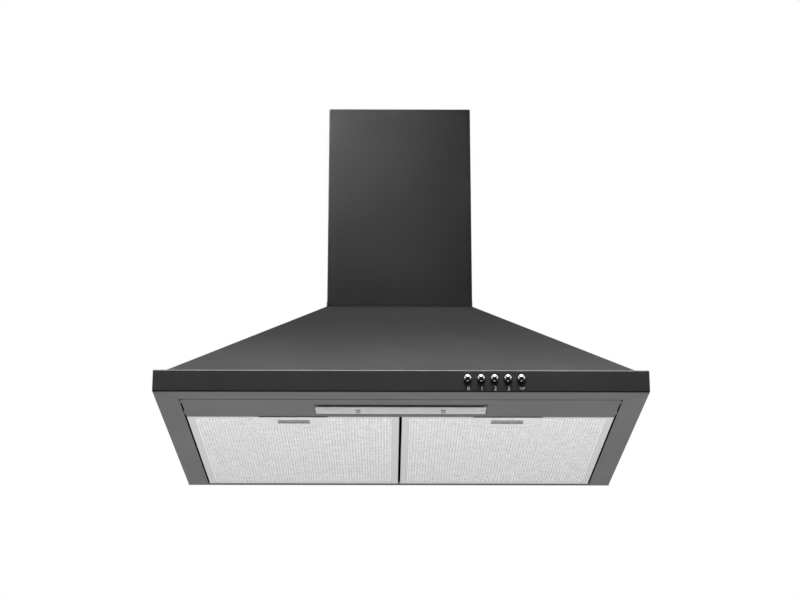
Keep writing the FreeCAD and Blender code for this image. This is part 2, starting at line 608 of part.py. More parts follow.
def upper_cover_bracket():
    """The wall bracket at the top of the upper cover, and the screws that hold it there."""
    half = f"({UPPER_HALF} - sheet_gauge)"
    rear = f"({UPPER_REAR} + sheet_gauge)"
    levels = (f"{BRACKET_TOP} - bracket_height", BRACKET_TOP)
    strip_span = (f"-{rear} - bracket_sheet", f"-{rear}")
    strip = box("bracket_strip", (f"-{half}", half), strip_span, levels)
    pieces, holes, screws = [strip], [], []
    for side, word in ((-1, "left"), (1, "right")):
        arm_span = mirrored_span(side, f"{half} - bracket_sheet", half)
        pieces.append(box(f"bracket_arm_{word}", arm_span,
                          (f"-{rear} - bracket_arm", f"-{rear}"), levels))
        holes.append(rod(f"bracket_hole_{word}", "Y",
                         (f"{side} * bracket_pitch / 2", BRACKET_LEVEL),
                         through(*strip_span), "bracket_hole"))
        holes.append(rod(f"arm_hole_{word}", "X", (BRACKET_SCREW_Y, BRACKET_LEVEL),
                         through(*arm_span), "screw_radius + screw_play"))
        inner = f"({half} - bracket_sheet)"
        screws.append(screw(f"bracket_screw_{word}", (BRACKET_SCREW_Y, BRACKET_LEVEL),
                            mirrored_span(side, f"{inner} - screw_head_height", inner),
                            mirrored_span(side, inner, UPPER_HALF)))
    sub_part(cut("bracket_cut", fuse("bracket_joined", *pieces), *holes), "upper_cover_bracket")
    sub_part(group("bracket_screw_set", *screws), "bracket_screws")


def screw(name, across, head_span, shank_span):
    """A pan-head screw that lies along X."""
    head = rod(f"{name}_head", "X", across, head_span, "screw_head_radius")
    return fuse(name, head, rod(f"{name}_shank", "X", across, shank_span, "screw_radius"))


def cover_screws():
    """Screws that hold the lower cover to the seat, two on each side."""
    screws = [
        screw(f"cover_screw_{row}_{word}", (f"(-cover_screw_{row})", SCREW_LEVEL),
              mirrored_span(side, COVER_HALF, f"{COVER_HALF} + screw_head_height"),
              mirrored_span(side, f"{COVER_HALF} - screw_reach", COVER_HALF))
        for side, word in ((-1, "left"), (1, "right"))
        for row in ("front", "rear")
    ]
    sub_part(group("cover_screw_set", *screws), "cover_screws")


# Filters

def filter_rim(name, x_span, y_span, window_x, window_y, z_span):
    """The edge frame of a filter, with its lower edges folded round."""
    body, planes = new_body(name)
    sketch = outline(body, planes["XY_Plane"], loop(x_span, y_span), z_span[0],
                     f"{name}_outline")
    add_loop(sketch, loop(window_x, window_y))
    blank = pad(body, sketch, f"{z_span[1]} - ({z_span[0]})")
    floor, rear = number(z_span[0]), number(y_span[1])

    def is_lower(edge):
        at_rear = ends_near(edge, lambda p: abs(p.y - rear) < NEAR)
        return ends_near(edge, lambda p: abs(p.z - floor) < NEAR) and not at_rear

    round_edges(body, blank, is_lower, "filter_fold")
    return body


def loop(x_span, y_span):
    """The four corners of a rectangle."""
    return [(x_span[0], y_span[0]), (x_span[1], y_span[0]), (x_span[1], y_span[1]),
            (x_span[0], y_span[1])]


def filter_set(side):
    """A grease filter: edge frame with pegs, mesh pack, latch plate, latch and its spring."""
    word = "right" if side > 0 else "left"
    name = lambda piece: f"{piece}_{word}"
    x_of = lambda low, high: mirrored_span(side, low, high)
    middle = f"({side} * latch_offset)"
    low, high = "filter_recess", "filter_recess + filter_thickness"

    window_x = x_of(f"{FILTER_INNER} + filter_border", f"{FILTER_OUTER} - filter_border")
    window_y = (f"{FILTER_FRONT} + filter_border", f"{FILTER_REAR} - filter_heel")
    rim = filter_rim(name("filter_rim"), x_of(FILTER_INNER, FILTER_OUTER), (FILTER_FRONT, PEG_Y),
                     window_x, window_y, (low, high))
    nose = rod(name("filter_nose"), "X", (PEG_Y, PEG_Z), x_of(FILTER_INNER, FILTER_OUTER),
               "nose_radius")
    slot_half = "(tongue_width / 2 + tongue_slot_play)"
    slot = box(name("tongue_slot"), (f"{middle} - {slot_half}", f"{middle} + {slot_half}"),
               through(FILTER_FRONT, f"{FILTER_FRONT} + filter_border"),
               (f"{TONGUE_LOW} - fit_gap", f"{TONGUE_LOW} + tongue_thickness + fit_gap"))
    dimples = [
        rod(name(f"dimple_{i}"), "Z", (corner, window_y[1]),
            (f"{low} - overrun", f"{low} + dimple_depth"), "dimple_radius")
        for i, corner in enumerate(window_x)
    ]
    frame = cut(name("filter_frame_cut"), fuse(name("filter_rolled"), rim, nose), slot, *dimples)
    outer_peg = rod(name("outer_peg"), "X", (PEG_Y, PEG_Z),
                    x_of(f"{FILTER_OUTER} - overrun",
                         f"{FILTER_OUTER} + filter_side_gap / 2 + ear_thickness / 2 + peg_tip"),
                    "peg_radius")
    inner_peg = rod(name("inner_peg"), "X", (PEG_Y, PEG_Z),
                    x_of("peg_middle_gap", f"{FILTER_INNER} + overrun"), "peg_radius")
    sub_part(fuse(name("filter_frame_pegged"), frame, outer_peg, inner_peg),
             name("filter_frame"))

    pack = box(name("mesh_pack"), window_x, window_y,
               (f"{FILTER_MIDDLE} - mesh_thickness / 2", f"{FILTER_MIDDLE} + mesh_thickness / 2"))
    room_half = "(latch_cup_width / 2 + latch_room_margin)"
    room = box(name("latch_room"), (f"{middle} - {room_half}", f"{middle} + {room_half}"),
               (FILTER_FRONT, f"{SPRING_REAR} + sheet_gauge + latch_room_gap"),
               through(low, high))
    sub_part(cut(name("mesh_cut"), pack, room), name("filter_mesh"))

    plate_rear = f"({FILTER_FRONT} + latch_plate_depth)"
    sheet = box(name("latch_sheet"),
                (f"{middle} - latch_plate_width / 2", f"{middle} + latch_plate_width / 2"),
                (FILTER_FRONT, plate_rear), (f"{low} - latch_plate_gauge", low))
    sheet_window = box(
        name("latch_window"),
        (f"{middle} - latch_cup_width / 2 - latch_play",
         f"{middle} + latch_cup_width / 2 + latch_play"),
        (f"{CUP_FRONT} - latch_play", f"{CUP_REAR} + latch_travel + latch_play"),
        through(f"{low} - latch_plate_gauge", low))
    stop = box(name("spring_stop"),
               (f"{middle} - spring_stop_width / 2", f"{middle} + spring_stop_width / 2"),
               (SPRING_REAR, f"{SPRING_REAR} + sheet_gauge"),
               (low, f"{FILTER_MIDDLE} + latch_coil + spring_stop_rise"))
    sub_part(fuse(name("latch_plate_folded"),
                  cut(name("latch_plate_cut"), sheet, sheet_window), stop),
             name("filter_latch_plate"))

    cup_low, cup_high = f"{low} - latch_plate_gauge", f"{low} - latch_plate_gauge + latch_cup_height"
    cup = box(name("cup_outer"),
              (f"{middle} - latch_cup_width / 2", f"{middle} + latch_cup_width / 2"),
              (CUP_FRONT, CUP_REAR), (cup_low, cup_high))
    hollow = box(name("cup_hollow"),
                 (f"{middle} - latch_cup_width / 2 + latch_wall",
                  f"{middle} + latch_cup_width / 2 - latch_wall"),
                 (f"{CUP_FRONT} + latch_wall", f"{CUP_REAR} - latch_wall"),
                 (f"{cup_low} - overrun", f"{cup_high} - latch_wall"))
    tongue = box(name("tongue"),
                 (f"{middle} - tongue_width / 2", f"{middle} + tongue_width / 2"),
                 (f"{PANEL_REAR} - sheet_gauge - tongue_reach", f"{CUP_FRONT} + latch_wall"),
                 (TONGUE_LOW, f"{TONGUE_LOW} + tongue_thickness"))
    shoes = [
        box(name(f"latch_shoe_{i}"), span, (CUP_FRONT, CUP_REAR),
            (f"{low} + fit_gap", f"{low} + fit_gap + latch_wall"))
        for i, span in enumerate((
            (f"{middle} - latch_cup_width / 2 - latch_shoe",
             f"{middle} - latch_cup_width / 2 + latch_wall"),
            (f"{middle} + latch_cup_width / 2 - latch_wall",
             f"{middle} + latch_cup_width / 2 + latch_shoe")))
    ]
    sub_part(fuse(name("latch_joined"), cut(name("cup_cut"), cup, hollow), tongue, *shoes),
             name("filter_latch"))

    made(name("filter_latch_spring"),
         coil("latch_spring_length", "latch_coil", "latch_wire"),
         middle, f"{CUP_REAR} + latch_wire + {SPRING_REST}", FILTER_MIDDLE, AXIS_TURN["Y"])


def coil(length, radius, wire):
    """A compression spring of round wire, wound up its own Z between its two seats."""
    height = number(f"{length} - 2 * {wire} - 2 * {SPRING_REST}")
    path = Part.makeHelix(height / SPRING_TURNS, height, number(radius))
    section = Part.makeCircle(number(wire), FreeCAD.Vector(number(radius), 0, 0),
                              FreeCAD.Vector(0, 1, 0))
    shape = Part.Wire(path.Edges).makePipeShell([Part.Wire(section)], True, True)
    return Part.Solid(shape) if shape.ShapeType == "Shell" else shape


# Lamps

def crowned_section(body, plane):
    """The lamp cover's section: two arcs over its depth, joined by its two edges."""
    sketch = body.newObject("Sketcher::SketchObject", "lamp_section")
    sketch.AttachmentSupport = [(plane, "")]
    sketch.MapMode = "FlatFace"
    sketch.setExpression("AttachmentOffset.Base.z", bound(f"-{LAMP_HALF}"))
    low, high = "panel_recess", "panel_recess + lamp_gauge"
    vec = FreeCAD.Vector
    for level in (low, high):
        front, rear = (vec(number(y), number(level), 0) for y in (LAMP_FRONT, LAMP_REAR))
        middle = (front + rear) / 2 - vec(0, number("lamp_crown"), 0)
        arc = sketch.addGeometry(Part.Arc(front, middle, rear))
        arc_radius = "((lamp_depth^2 / 4 + lamp_crown^2) / (2 * lamp_crown))"
        index = sketch.addConstraint(Sketcher.Constraint("Radius", arc, number(arc_radius)))
        sketch.setExpression(f"Constraints[{index}]", bound(arc_radius))
        for end, y in ((1, LAMP_FRONT), (2, LAMP_REAR)):
            for kind, text in (("DistanceX", y), ("DistanceY", level)):
                index = sketch.addConstraint(
                    Sketcher.Constraint(kind, -1, 1, arc, end, number(text)))
                sketch.setExpression(f"Constraints[{index}]", bound(f"({text})"))
    for end, y in ((1, LAMP_FRONT), (2, LAMP_REAR)):
        edge = sketch.addGeometry(Part.LineSegment(vec(number(y), number(low), 0),
                                                   vec(number(y), number(high), 0)))
        sketch.addConstraint(Sketcher.Constraint("Coincident", edge, 1, 0, end))
        sketch.addConstraint(Sketcher.Constraint("Coincident", edge, 2, 1, end))
    return sketch


def lamps():
    """The crowned lamp cover on its hinge pins, the tray above it, and two lamps."""
    body, planes = new_body("lamp_cover_body")
    pad(body, crowned_section(body, planes["YZ_Plane"]), "lamp_width")
    pin_y, pin_z = f"({LAMP_FRONT} + lamp_pin_radius)", "(panel_recess + lamp_pin_rise)"
    pins = [
        rod(f"lamp_pin_{side > 0:d}", "X", (pin_y, pin_z),
            mirrored_span(side, f"{LAMP_HALF} - lamp_ear",
                          f"{LAMP_HALF} + tray_margin + lamp_pin_past"),
            "lamp_pin_radius")
        for side in (-1, 1)
    ]
    ears = [
        box(f"lamp_ear_{side > 0:d}", mirrored_span(side, f"{LAMP_HALF} - lamp_ear", LAMP_HALF),
            (LAMP_FRONT, f"{LAMP_FRONT} + lamp_ear_width"),
            ("panel_recess + lamp_gauge / 2", f"{pin_z} + lamp_pin_radius"))
        for side in (-1, 1)
    ]
    sub_part(fuse("lamp_cover_pinned", body, *pins, *ears), "lamp_cover")

    tray_half = f"({LAMP_HALF} + tray_margin)"
    tray_front, tray_rear = f"({LAMP_FRONT} - tray_side_gap)", f"({LAMP_REAR} + tray_side_gap)"
    foot = "(panel_recess + sheet_gauge)"
    outer = box("tray_outer", (f"-{tray_half}", tray_half), (tray_front, tray_rear),
                (foot, TRAY_TOP))
    inner = box("tray_inner", (f"-{tray_half} + tray_wall", f"{tray_half} - tray_wall"),
                (f"{tray_front} + tray_wall", f"{tray_rear} - tray_wall"),
                (f"{foot} - overrun", f"{TRAY_TOP} - tray_wall"))
    pin_holes = rod("lamp_pin_holes", "X", (pin_y, pin_z), through(f"-{tray_half}", tray_half),
                    "lamp_pin_radius + lamp_pin_play")
    sub_part(cut("lamp_tray_cut", outer, inner, pin_holes, dip_block("tray_dip", "sheet_gauge")),
             "lamp_tray")

    for side, word in ((-1, "left"), (1, "right")):
        wall = f"({tray_half} - tray_wall)"
        holder_end = f"({wall} - holder_length)"
        shell = rod(f"holder_shell_{word}", "X", (LAMP_Y, BULB_Z),
                    mirrored_span(side, holder_end, wall), "holder_radius")
        socket = rod(f"holder_socket_{word}", "X", (LAMP_Y, BULB_Z),
                     mirrored_span(side, *through(holder_end, f"{holder_end} + bulb_cap_length")),
                     "bulb_cap_radius + fit_gap")
        sub_part(cut(f"lampholder_cut_{word}", shell, socket), f"lampholder_{word}")
        cap = rod(f"bulb_cap_{word}", "X", (LAMP_Y, BULB_Z),
                  mirrored_span(side, holder_end, f"{holder_end} + bulb_cap_length"),
                  "bulb_cap_radius")
        sub_part(cap, f"lamp_cap_{word}")
        tube_end = f"({holder_end} - bulb_length + bulb_radius)"
        tube = rod(f"bulb_tube_{word}", "X", (LAMP_Y, BULB_Z),
                   mirrored_span(side, tube_end, holder_end), "bulb_radius")
        dome = DOC.addObject("Part::Sphere", f"bulb_dome_{word}")
        dome.setExpression("Radius", bound("bulb_radius"))
        place(dome, f"{side} * {tube_end}", LAMP_Y, BULB_Z)
        sub_part(fuse(f"bulb_joined_{word}", tube, dome), f"lamp_bulb_{word}")


# Push buttons

def buttons():
    """Five domed buttons with stems and springs, their bushes, and the switch bank."""
    bushes, stem_bores = [], []
    for i in range(BUTTON_COUNT):
        x = button_x(i)
        at = (x, "button_height")
        head = rod(f"button_head_{i}", "Y", at, (BUTTON_TIP, BUTTON_SHOULDER), "button_radius")
        cap_radius = "((button_radius^2 + button_dome^2) / (2 * button_dome))"
        ball = DOC.addObject("Part::Sphere", f"button_ball_{i}")
        ball.setExpression("Radius", bound(cap_radius))
        place(ball, x, f"{BUTTON_TIP} - button_dome + {cap_radius}", "button_height")
        keep = rod(f"button_keep_{i}", "Y", at,
                   (f"{BUTTON_TIP} - button_dome - overrun", BUTTON_TIP), "button_radius")
        dome = DOC.addObject("Part::MultiCommon", f"button_dome_{i}")
        dome.Shapes = [ball, keep]
        stem = rod(f"button_stem_{i}", "Y", at,
                   (f"{BUTTON_SHOULDER} - overrun", f"{BUTTON_SHOULDER} + stem_length"),
                   "stem_radius")
        sub_part(fuse(f"button_joined_{i}", head, dome, stem), f"push_button_{i}")

        flange = pipe(f"bush_flange_{i}", "Y", at, (f"{FRONT} - bush_lip", FRONT),
                      "bush_flange", "button_radius + bush_play")
        sleeve = pipe(f"bush_sleeve_{i}", "Y", at, (FRONT, f"{FRONT} + bush_depth"),
                      BUSH_SLEEVE, "button_radius + bush_play")
        bushes.append(fuse(f"bush_{i}", flange, sleeve))
        stem_end = f"{BUTTON_SHOULDER} + stem_length + button_travel + stem_end_gap"
        stem_bores.append(rod(f"stem_bore_{i}", "Y", at, (f"{SWITCH_FRONT} - overrun", stem_end),
                              "stem_radius + stem_play"))
        made(f"button_spring_{i}",
             coil(f"({SWITCH_FRONT} - {BUTTON_SHOULDER})", "button_coil", "button_wire"),
             x, f"{BUTTON_SHOULDER} + button_wire + {SPRING_REST}", "button_height",
             AXIS_TURN["Y"])
    sub_part(group("bush_set", *bushes), "button_bushes")
    case = box("switch_case", ("button_first - switch_margin",
                               f"{button_x(BUTTON_COUNT - 1)} + switch_margin"),
               (SWITCH_FRONT, f"{SWITCH_FRONT} + switch_depth"),
               ("sheet_gauge + fit_gap", "sheet_gauge + fit_gap + switch_height"))
    sub_part(cut("switch_bored", case, *stem_bores), "switch_bank")


# Fan

def scroll(name, growth, y_span, top):
    """A scroll of three quarter rounds with a straight outlet, its wall moved by growth."""
    step = "(scroll_step / 2)"
    quarters = []
    for i, (dx, dz, start, rings) in enumerate((
            ("-", "-", 90, 0), ("+", "-", 180, 1), ("+", "+", 270, 2))):
        pie = DOC.addObject("Part::Cylinder", f"{name}_quarter_{i}")
        turn = FreeCAD.Rotation(FreeCAD.Vector(1, 0, 0), 90)
        spin = FreeCAD.Rotation(FreeCAD.Vector(0, 0, 1), start)
        pie.Placement = FreeCAD.Placement(FreeCAD.Vector(), turn.multiply(spin))
        pie.Angle = 90
        pie.setExpression("Radius", bound(f"scroll_radius + {rings} * scroll_step + {growth}"))
        pie.setExpression("Height", bound(f"({y_span[1]}) - ({y_span[0]})"))
        place(pie, f"{FAN_X} {dx} {step}", y_span[1], f"fan_height {dz} {step}")
        quarters.append(pie)
    core = box(f"{name}_core", through(f"{FAN_X} - {step}", f"{FAN_X} + {step}"), y_span,
               through(f"fan_height - {step}", f"fan_height + {step}"))
    bore = "(duct_radius - collar_wall)"
    outlet = box(f"{name}_outlet", (f"-{bore} - {growth}", f"{bore} + {growth}"), y_span,
                 ("fan_height", top))
    return fuse(name, *quarters, core, outlet)


def fan():
    """Scroll housing, inlet guard, impeller, shaft, nut, motor, bracket and bushes."""
    outer = scroll("scroll_outer", "fan_wall", (FAN_FRONT, FAN_REAR), CANOPY_TOP)
    inner = scroll("scroll_inner", "0", (f"{FAN_FRONT} + fan_wall", f"{FAN_REAR} - fan_wall"),
                   f"{CANOPY_TOP} + overrun")
    inlet = rod("inlet_hole", "Y", (FAN_X, "fan_height"),
                through(FAN_FRONT, f"{FAN_FRONT} + fan_wall"), "inlet_radius")
    sub_part(cut("fan_housing_cut", outer, inner, inlet), "fan_housing")

    at = (FAN_X, "fan_height")
    guard_y = (f"{FAN_FRONT} - guard_gauge", FAN_FRONT)
    rings = [pipe("guard_rim", "Y", at, guard_y, "inlet_radius + guard_rim_out",
                  "inlet_radius - guard_rim_in")]
    for i in range(1, GUARD_RING_COUNT + 1):
        radius = f"(inlet_radius * {i} / {GUARD_RING_COUNT + 1})"
        rings.append(pipe(f"guard_ring_{i}", "Y", at, guard_y, f"{radius} + guard_bar / 2",
                          f"{radius} - guard_bar / 2"))
    bar = "(guard_bar / 2)"
    rings.append(box("guard_bar_across", (f"{FAN_X} - inlet_radius", f"{FAN_X} + inlet_radius"),
                     guard_y, (f"fan_height - {bar}", f"fan_height + {bar}")))
    rings.append(box("guard_bar_up", (f"{FAN_X} - {bar}", f"{FAN_X} + {bar}"), guard_y,
                     ("fan_height - inlet_radius", "fan_height + inlet_radius")))
    sub_part(fuse("inlet_guard_joined", *rings), "inlet_guard")

    rear = f"({FAN_REAR} - fan_wall - impeller_margin - motor_bush_length - bracket_gauge)"
    front = f"({rear} - impeller_length)"
    disc_y = (f"{MOTOR_FRONT} - disc_gap - ring_gauge", f"{MOTOR_FRONT} - disc_gap")
    pieces = [
        pipe("impeller_disc", "Y", at, disc_y, "impeller_radius", "shaft_radius"),
        pipe("impeller_hub", "Y", at, (f"{disc_y[0]} - hub_length", disc_y[0]), "hub_radius",
             "shaft_radius"),
        pipe("impeller_rear_ring", "Y", at, (f"{rear} - ring_gauge", rear), "impeller_radius",
             "impeller_inner"),
        pipe("impeller_front_ring", "Y", at, (front, f"{front} + ring_gauge"),
             "impeller_radius", "impeller_inner"),
    ]
    for i in range(BLADE_COUNT):
        turn = 360 * i / BLADE_COUNT
        blade = DOC.addObject("Part::Box", f"impeller_blade_{i}")
        blade.setExpression("Length", bound("impeller_radius - impeller_inner - blade_margin"))
        blade.setExpression("Width", bound(f"{rear} - {front}"))
        blade.setExpression("Height", bound("blade_gauge"))
        blade.Placement = FreeCAD.Placement(
            FreeCAD.Vector(),
            FreeCAD.Rotation(FreeCAD.Vector(0, -1, 0), turn + number("blade_tilt")))
        foot = around(FAN_X, "fan_height", "(impeller_inner + blade_foot)", turn)
        place(blade, foot[0], front, foot[1])
        pieces.append(blade)
    sub_part(fuse("impeller_joined", *pieces), "impeller")

    shaft_front = f"({disc_y[0]} - hub_length - nut_length)"
    shaft_rear = f"({MOTOR_REAR} - bracket_gauge - shaft_inset)"
    sub_part(rod("shaft_rod", "Y", at, (shaft_front, shaft_rear), "shaft_radius"),
             "motor_shaft")
    nut = DOC.addObject("Part::Prism", "nut_prism")
    nut.Polygon = 6
    nut.Placement = FreeCAD.Placement(FreeCAD.Vector(), AXIS_TURN["Y"])
    nut.setExpression("Circumradius", bound("nut_radius"))
    nut.setExpression("Height", bound("nut_length"))
    place(nut, FAN_X, shaft_front, "fan_height")
    bore = rod("nut_bore", "Y", at, through(shaft_front, f"{shaft_front} + nut_length"),
               "shaft_radius")
    sub_part(cut("nut_bored", nut, bore), "impeller_nut")

    case = rod("motor_case", "Y", at, (MOTOR_FRONT, f"{MOTOR_REAR} - bracket_gauge"),
               "motor_radius")
    case_bore = rod("motor_bore", "Y", at,
                    (f"{MOTOR_FRONT} - overrun", f"{shaft_rear} + shaft_end_gap"),
                    "shaft_radius + shaft_play")
    sub_part(cut("motor_bored", case, case_bore), "motor_casing")
    sub_part(rod("bracket_disc", "Y", at, (f"{MOTOR_REAR} - bracket_gauge", MOTOR_REAR),
                 "bracket_radius"), "motor_bracket")
    rubbers = []
    for i in range(MOTOR_BUSH_COUNT):
        spot = around(FAN_X, "fan_height", "motor_bush_circle", 90 + 360 * i / MOTOR_BUSH_COUNT)
        rubbers.append(rod(f"motor_bush_{i}", "Y", spot,
                           (MOTOR_REAR, f"{MOTOR_REAR} + motor_bush_length"),
                           "motor_bush_radius"))
    sub_part(group("motor_bush_set", *rubbers), "motor_bushes")


# Outlet

def outlet():
    """The duct spigot on the seat, and two half-round flaps on a pin across it."""
    at = ("0", "-fan_depth")
    bore = "duct_radius - collar_wall"
    flange = pipe("collar_flange_ring", "Z", at,
                  (SEAT_FLOOR, f"{SEAT_FLOOR} + collar_flange_gauge"),
                  "duct_radius + collar_flange", bore)
    tube = pipe("collar_tube", "Z", at, (SEAT_FLOOR, COLLAR_TOP), "duct_radius", bore)
    stop_top = f"({PIN_Z} - flap_gauge / 2 - fit_gap)"
    stop = pipe("flap_stop_ring", "Z", at, (f"{stop_top} - flap_stop_gauge", stop_top),
                f"{bore} + stop_bite", f"{bore} - flap_stop")
    across = ("-fan_depth - duct_radius", "-fan_depth + duct_radius")
    pin_holes = rod("pin_holes", "Y", ("0", PIN_Z), through(*across), "damper_pin_radius")
    sub_part(cut("collar_cut", fuse("collar_joined", flange, tube, stop), pin_holes),
             "outlet_collar")
    sub_part(rod("pin_rod", "Y", ("0", PIN_Z), across, "damper_pin_radius"), "damper_pin")
    sheet = (f"{PIN_Z} - flap_gauge / 2", f"{PIN_Z} + flap_gauge / 2")
    for side, word in ((-1, "left"), (1, "right")):
        disc = rod(f"flap_disc_{word}", "Z", at, sheet, f"{bore} - flap_gap")
        keep = box(f"flap_keep_{word}",
                   mirrored_span(side, "barrel_radius + flap_split", "duct_radius"),
                   across, through(*sheet))
        half = DOC.addObject("Part::MultiCommon", f"flap_half_{word}")
        half.Shapes = [disc, keep]
        spans = ([("-barrel_middle", "barrel_middle")] if side > 0 else
                 [("-barrel_reach", "-barrel_middle - barrel_gap"),
                  ("barrel_middle + barrel_gap", "barrel_reach")])
        pieces = [half]
        for i, (low, high) in enumerate(spans):
            y_span = (f"-fan_depth + {low}", f"-fan_depth + {high}")
            pieces.append(rod(f"barrel_{word}_{i}", "Y", ("0", PIN_Z), y_span, "barrel_radius"))
            pieces.append(box(f"flap_web_{word}_{i}",
                              mirrored_span(side, "damper_pin_radius", "barrel_radius + overrun"),
                              y_span, sheet))
        hole = rod(f"barrel_hole_{word}", "Y", ("0", PIN_Z), across,
                   "damper_pin_radius + damper_play")
        sub_part(cut(f"flap_cut_{word}", fuse(f"flap_joined_{word}", *pieces), hole),
                 f"damper_flap_{word}")


# Electrics

def electrics():
    """Capacitor on the scroll, terminal box on the back panel, and the cord gland."""
    scroll_side = f"({FAN_X} - scroll_radius - scroll_step / 2 - fan_wall)"
    cap_x = f"({scroll_side} - clip_foot_gauge - clip_gap - capacitor_radius)"
    at = (cap_x, "fan_height")
    can_rear = f"({FAN_REAR} - capacitor_setback)"
    y_span = (f"({can_rear} - capacitor_length)", can_rear)
    sub_part(rod("capacitor_can", "Y", at, y_span, "capacitor_radius"), "capacitor")
    clip_y = (f"{y_span[0]} + capacitor_length / 2 - clip_width / 2",
              f"{y_span[0]} + capacitor_length / 2 + clip_width / 2")
    band = pipe("clip_band", "Y", at, clip_y, "capacitor_radius + clip_gap + clip_gauge",
                "capacitor_radius + clip_gap")
    foot = box("clip_foot", (f"{scroll_side} - clip_foot_gauge", scroll_side), clip_y,
               ("fan_height - clip_foot_height / 2", "fan_height + clip_foot_height / 2"))
    sub_part(fuse("clip_joined", band, foot), "capacitor_clip")

    x_span = ("terminal_place", "terminal_place + terminal_width")
    z_span = ("terminal_level", "terminal_level + terminal_height")
    front = "(-sheet_gauge - terminal_depth)"
    block = box("terminal_block", x_span, (front, "-sheet_gauge"), z_span)
    inside = box("terminal_inside",
                 (f"{x_span[0]} + terminal_wall", f"{x_span[1]} - terminal_wall"),
                 (f"{front} - overrun", "-sheet_gauge - terminal_wall"),
                 (f"{z_span[0]} + terminal_wall", f"{z_span[1]} - terminal_wall"))
    sub_part(cut("terminal_box_cut", block, inside), "terminal_box")
    sub_part(box("terminal_lid_plate", x_span, (f"{front} - terminal_wall", front), z_span),
             "terminal_lid")

    gland_at = ("gland_x", "-gland_y")
    nut = pipe("gland_nut", "Z", gland_at, (SEAT_FLOOR, f"{SEAT_FLOOR} + gland_length"),
               "gland_radius", "gland_hole")
    neck = pipe("gland_neck", "Z", gland_at, (CANOPY_TOP, SEAT_FLOOR),
                "gland_hole + gland_neck_wall", "gland_hole")
    sub_part(fuse("gland_joined", nut, neck), "cable_gland")


def check_and_export():
    """Checks every object of the document, then writes one file per sub-part."""
    DOC.recompute()
    for obj in DOC.Objects:
        if "Invalid" in obj.State or "Error" in obj.State:
            raise RuntimeError(f"{obj.Name} failed: {obj.State}")
    for part in SUB_PARTS:
        if part.Shape.isNull() or not part.Shape.isValid() or not part.Shape.Solids:
            raise RuntimeError(f"{part.Label} has no valid solid")
    os.makedirs("parts", exist_ok=True)
    for part in SUB_PARTS:
        part.Shape.exportStep(f"parts/{part.Label}.step")
        print(f"{part.Label}: {len(part.Shape.Solids)} solids, {part.Shape.Volume:.1f} mm3")
    print(f"{len(SUB_PARTS)} sub-parts")


base_frame()
canopy_shell()
back_panel()
rear_rail()
light_panel()
chimney()
upper_cover_bracket()
cover_screws()
filter_set(-1)
filter_set(1)
lamps()
buttons()
fan()
outlet()
electrics()
check_and_export()
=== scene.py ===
"""Looks of a wall-mounted chimney range hood, dressed around its construction frame.

Everything is in metres. X runs to the right, Y into the wall and Z up. The wall face is Y = 0.
"""
from __future__ import annotations

import json
import logging
import math
from dataclasses import dataclass
from enum import Enum
from typing import Sequence

import bmesh
import bpy
from mathutils import Matrix, Vector

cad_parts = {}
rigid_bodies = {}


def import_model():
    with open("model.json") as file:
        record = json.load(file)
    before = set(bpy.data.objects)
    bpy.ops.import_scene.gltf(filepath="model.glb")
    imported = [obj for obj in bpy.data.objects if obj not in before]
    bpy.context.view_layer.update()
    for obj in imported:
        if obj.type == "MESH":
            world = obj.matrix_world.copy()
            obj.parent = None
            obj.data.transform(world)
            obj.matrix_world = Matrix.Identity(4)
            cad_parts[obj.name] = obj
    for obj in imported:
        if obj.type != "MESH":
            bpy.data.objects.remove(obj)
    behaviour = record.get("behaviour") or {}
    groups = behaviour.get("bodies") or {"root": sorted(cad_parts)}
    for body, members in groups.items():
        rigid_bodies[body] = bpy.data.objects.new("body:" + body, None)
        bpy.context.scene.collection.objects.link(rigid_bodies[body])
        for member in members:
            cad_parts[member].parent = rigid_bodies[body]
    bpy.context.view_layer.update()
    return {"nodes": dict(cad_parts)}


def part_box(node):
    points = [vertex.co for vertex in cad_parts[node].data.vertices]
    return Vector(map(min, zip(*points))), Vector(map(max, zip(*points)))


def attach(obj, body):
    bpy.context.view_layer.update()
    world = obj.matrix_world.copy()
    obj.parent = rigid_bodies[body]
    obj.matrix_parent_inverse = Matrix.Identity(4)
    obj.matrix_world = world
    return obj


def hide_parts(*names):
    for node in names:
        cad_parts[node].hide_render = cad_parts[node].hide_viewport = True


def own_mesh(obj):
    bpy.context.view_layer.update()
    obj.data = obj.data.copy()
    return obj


LOG = logging.getLogger("range_hood")
MM = 0.001
FULL_TURN = 360
Colour = tuple[float, float, float]
Point = tuple[float, float, float]
Span = tuple[float, float]
Curve = tuple[Span, ...]


class Side(Enum):
    """The two halves of the hood, seen from the front."""

    LEFT = "left"
    RIGHT = "right"

    @property
    def sign(self) -> int:
        """The side's direction along X."""
        return 1 if self is Side.RIGHT else -1


class Axis(Enum):
    """The directions that a turned piece can lie along."""

    X = Matrix.Rotation(math.radians(90), 4, "Y")
    Y = Matrix.Rotation(math.radians(-90), 4, "X")
    Z = Matrix.Identity(4)


# Shader nodes

def add_node(tree: bpy.types.NodeTree, kind: str, **settings: object) -> bpy.types.Node:
    """Adds a node to a tree.

    Args:
        tree: The tree that the node goes into.
        kind: The node's type name.
        settings: Properties to set on it.

    Returns:
        The new node.
    """
    node = tree.nodes.new(kind)
    for name, value in settings.items():
        setattr(node, name, value)
    return node


def calculate(tree: bpy.types.NodeTree, operation: str, *terms: object) -> bpy.types.NodeSocket:
    """Adds a math node.

    Args:
        tree: The tree that the node goes into.
        operation: The name of the operation.
        terms: Sockets to link, or numbers to set, in order.

    Returns:
        The socket that holds the result.
    """
    node = add_node(tree, "ShaderNodeMath", operation=operation)
    for socket, term in zip(node.inputs, terms):
        if isinstance(term, (int, float)):
            socket.default_value = term
        else:
            tree.links.new(term, socket)
    return node.outputs[0]


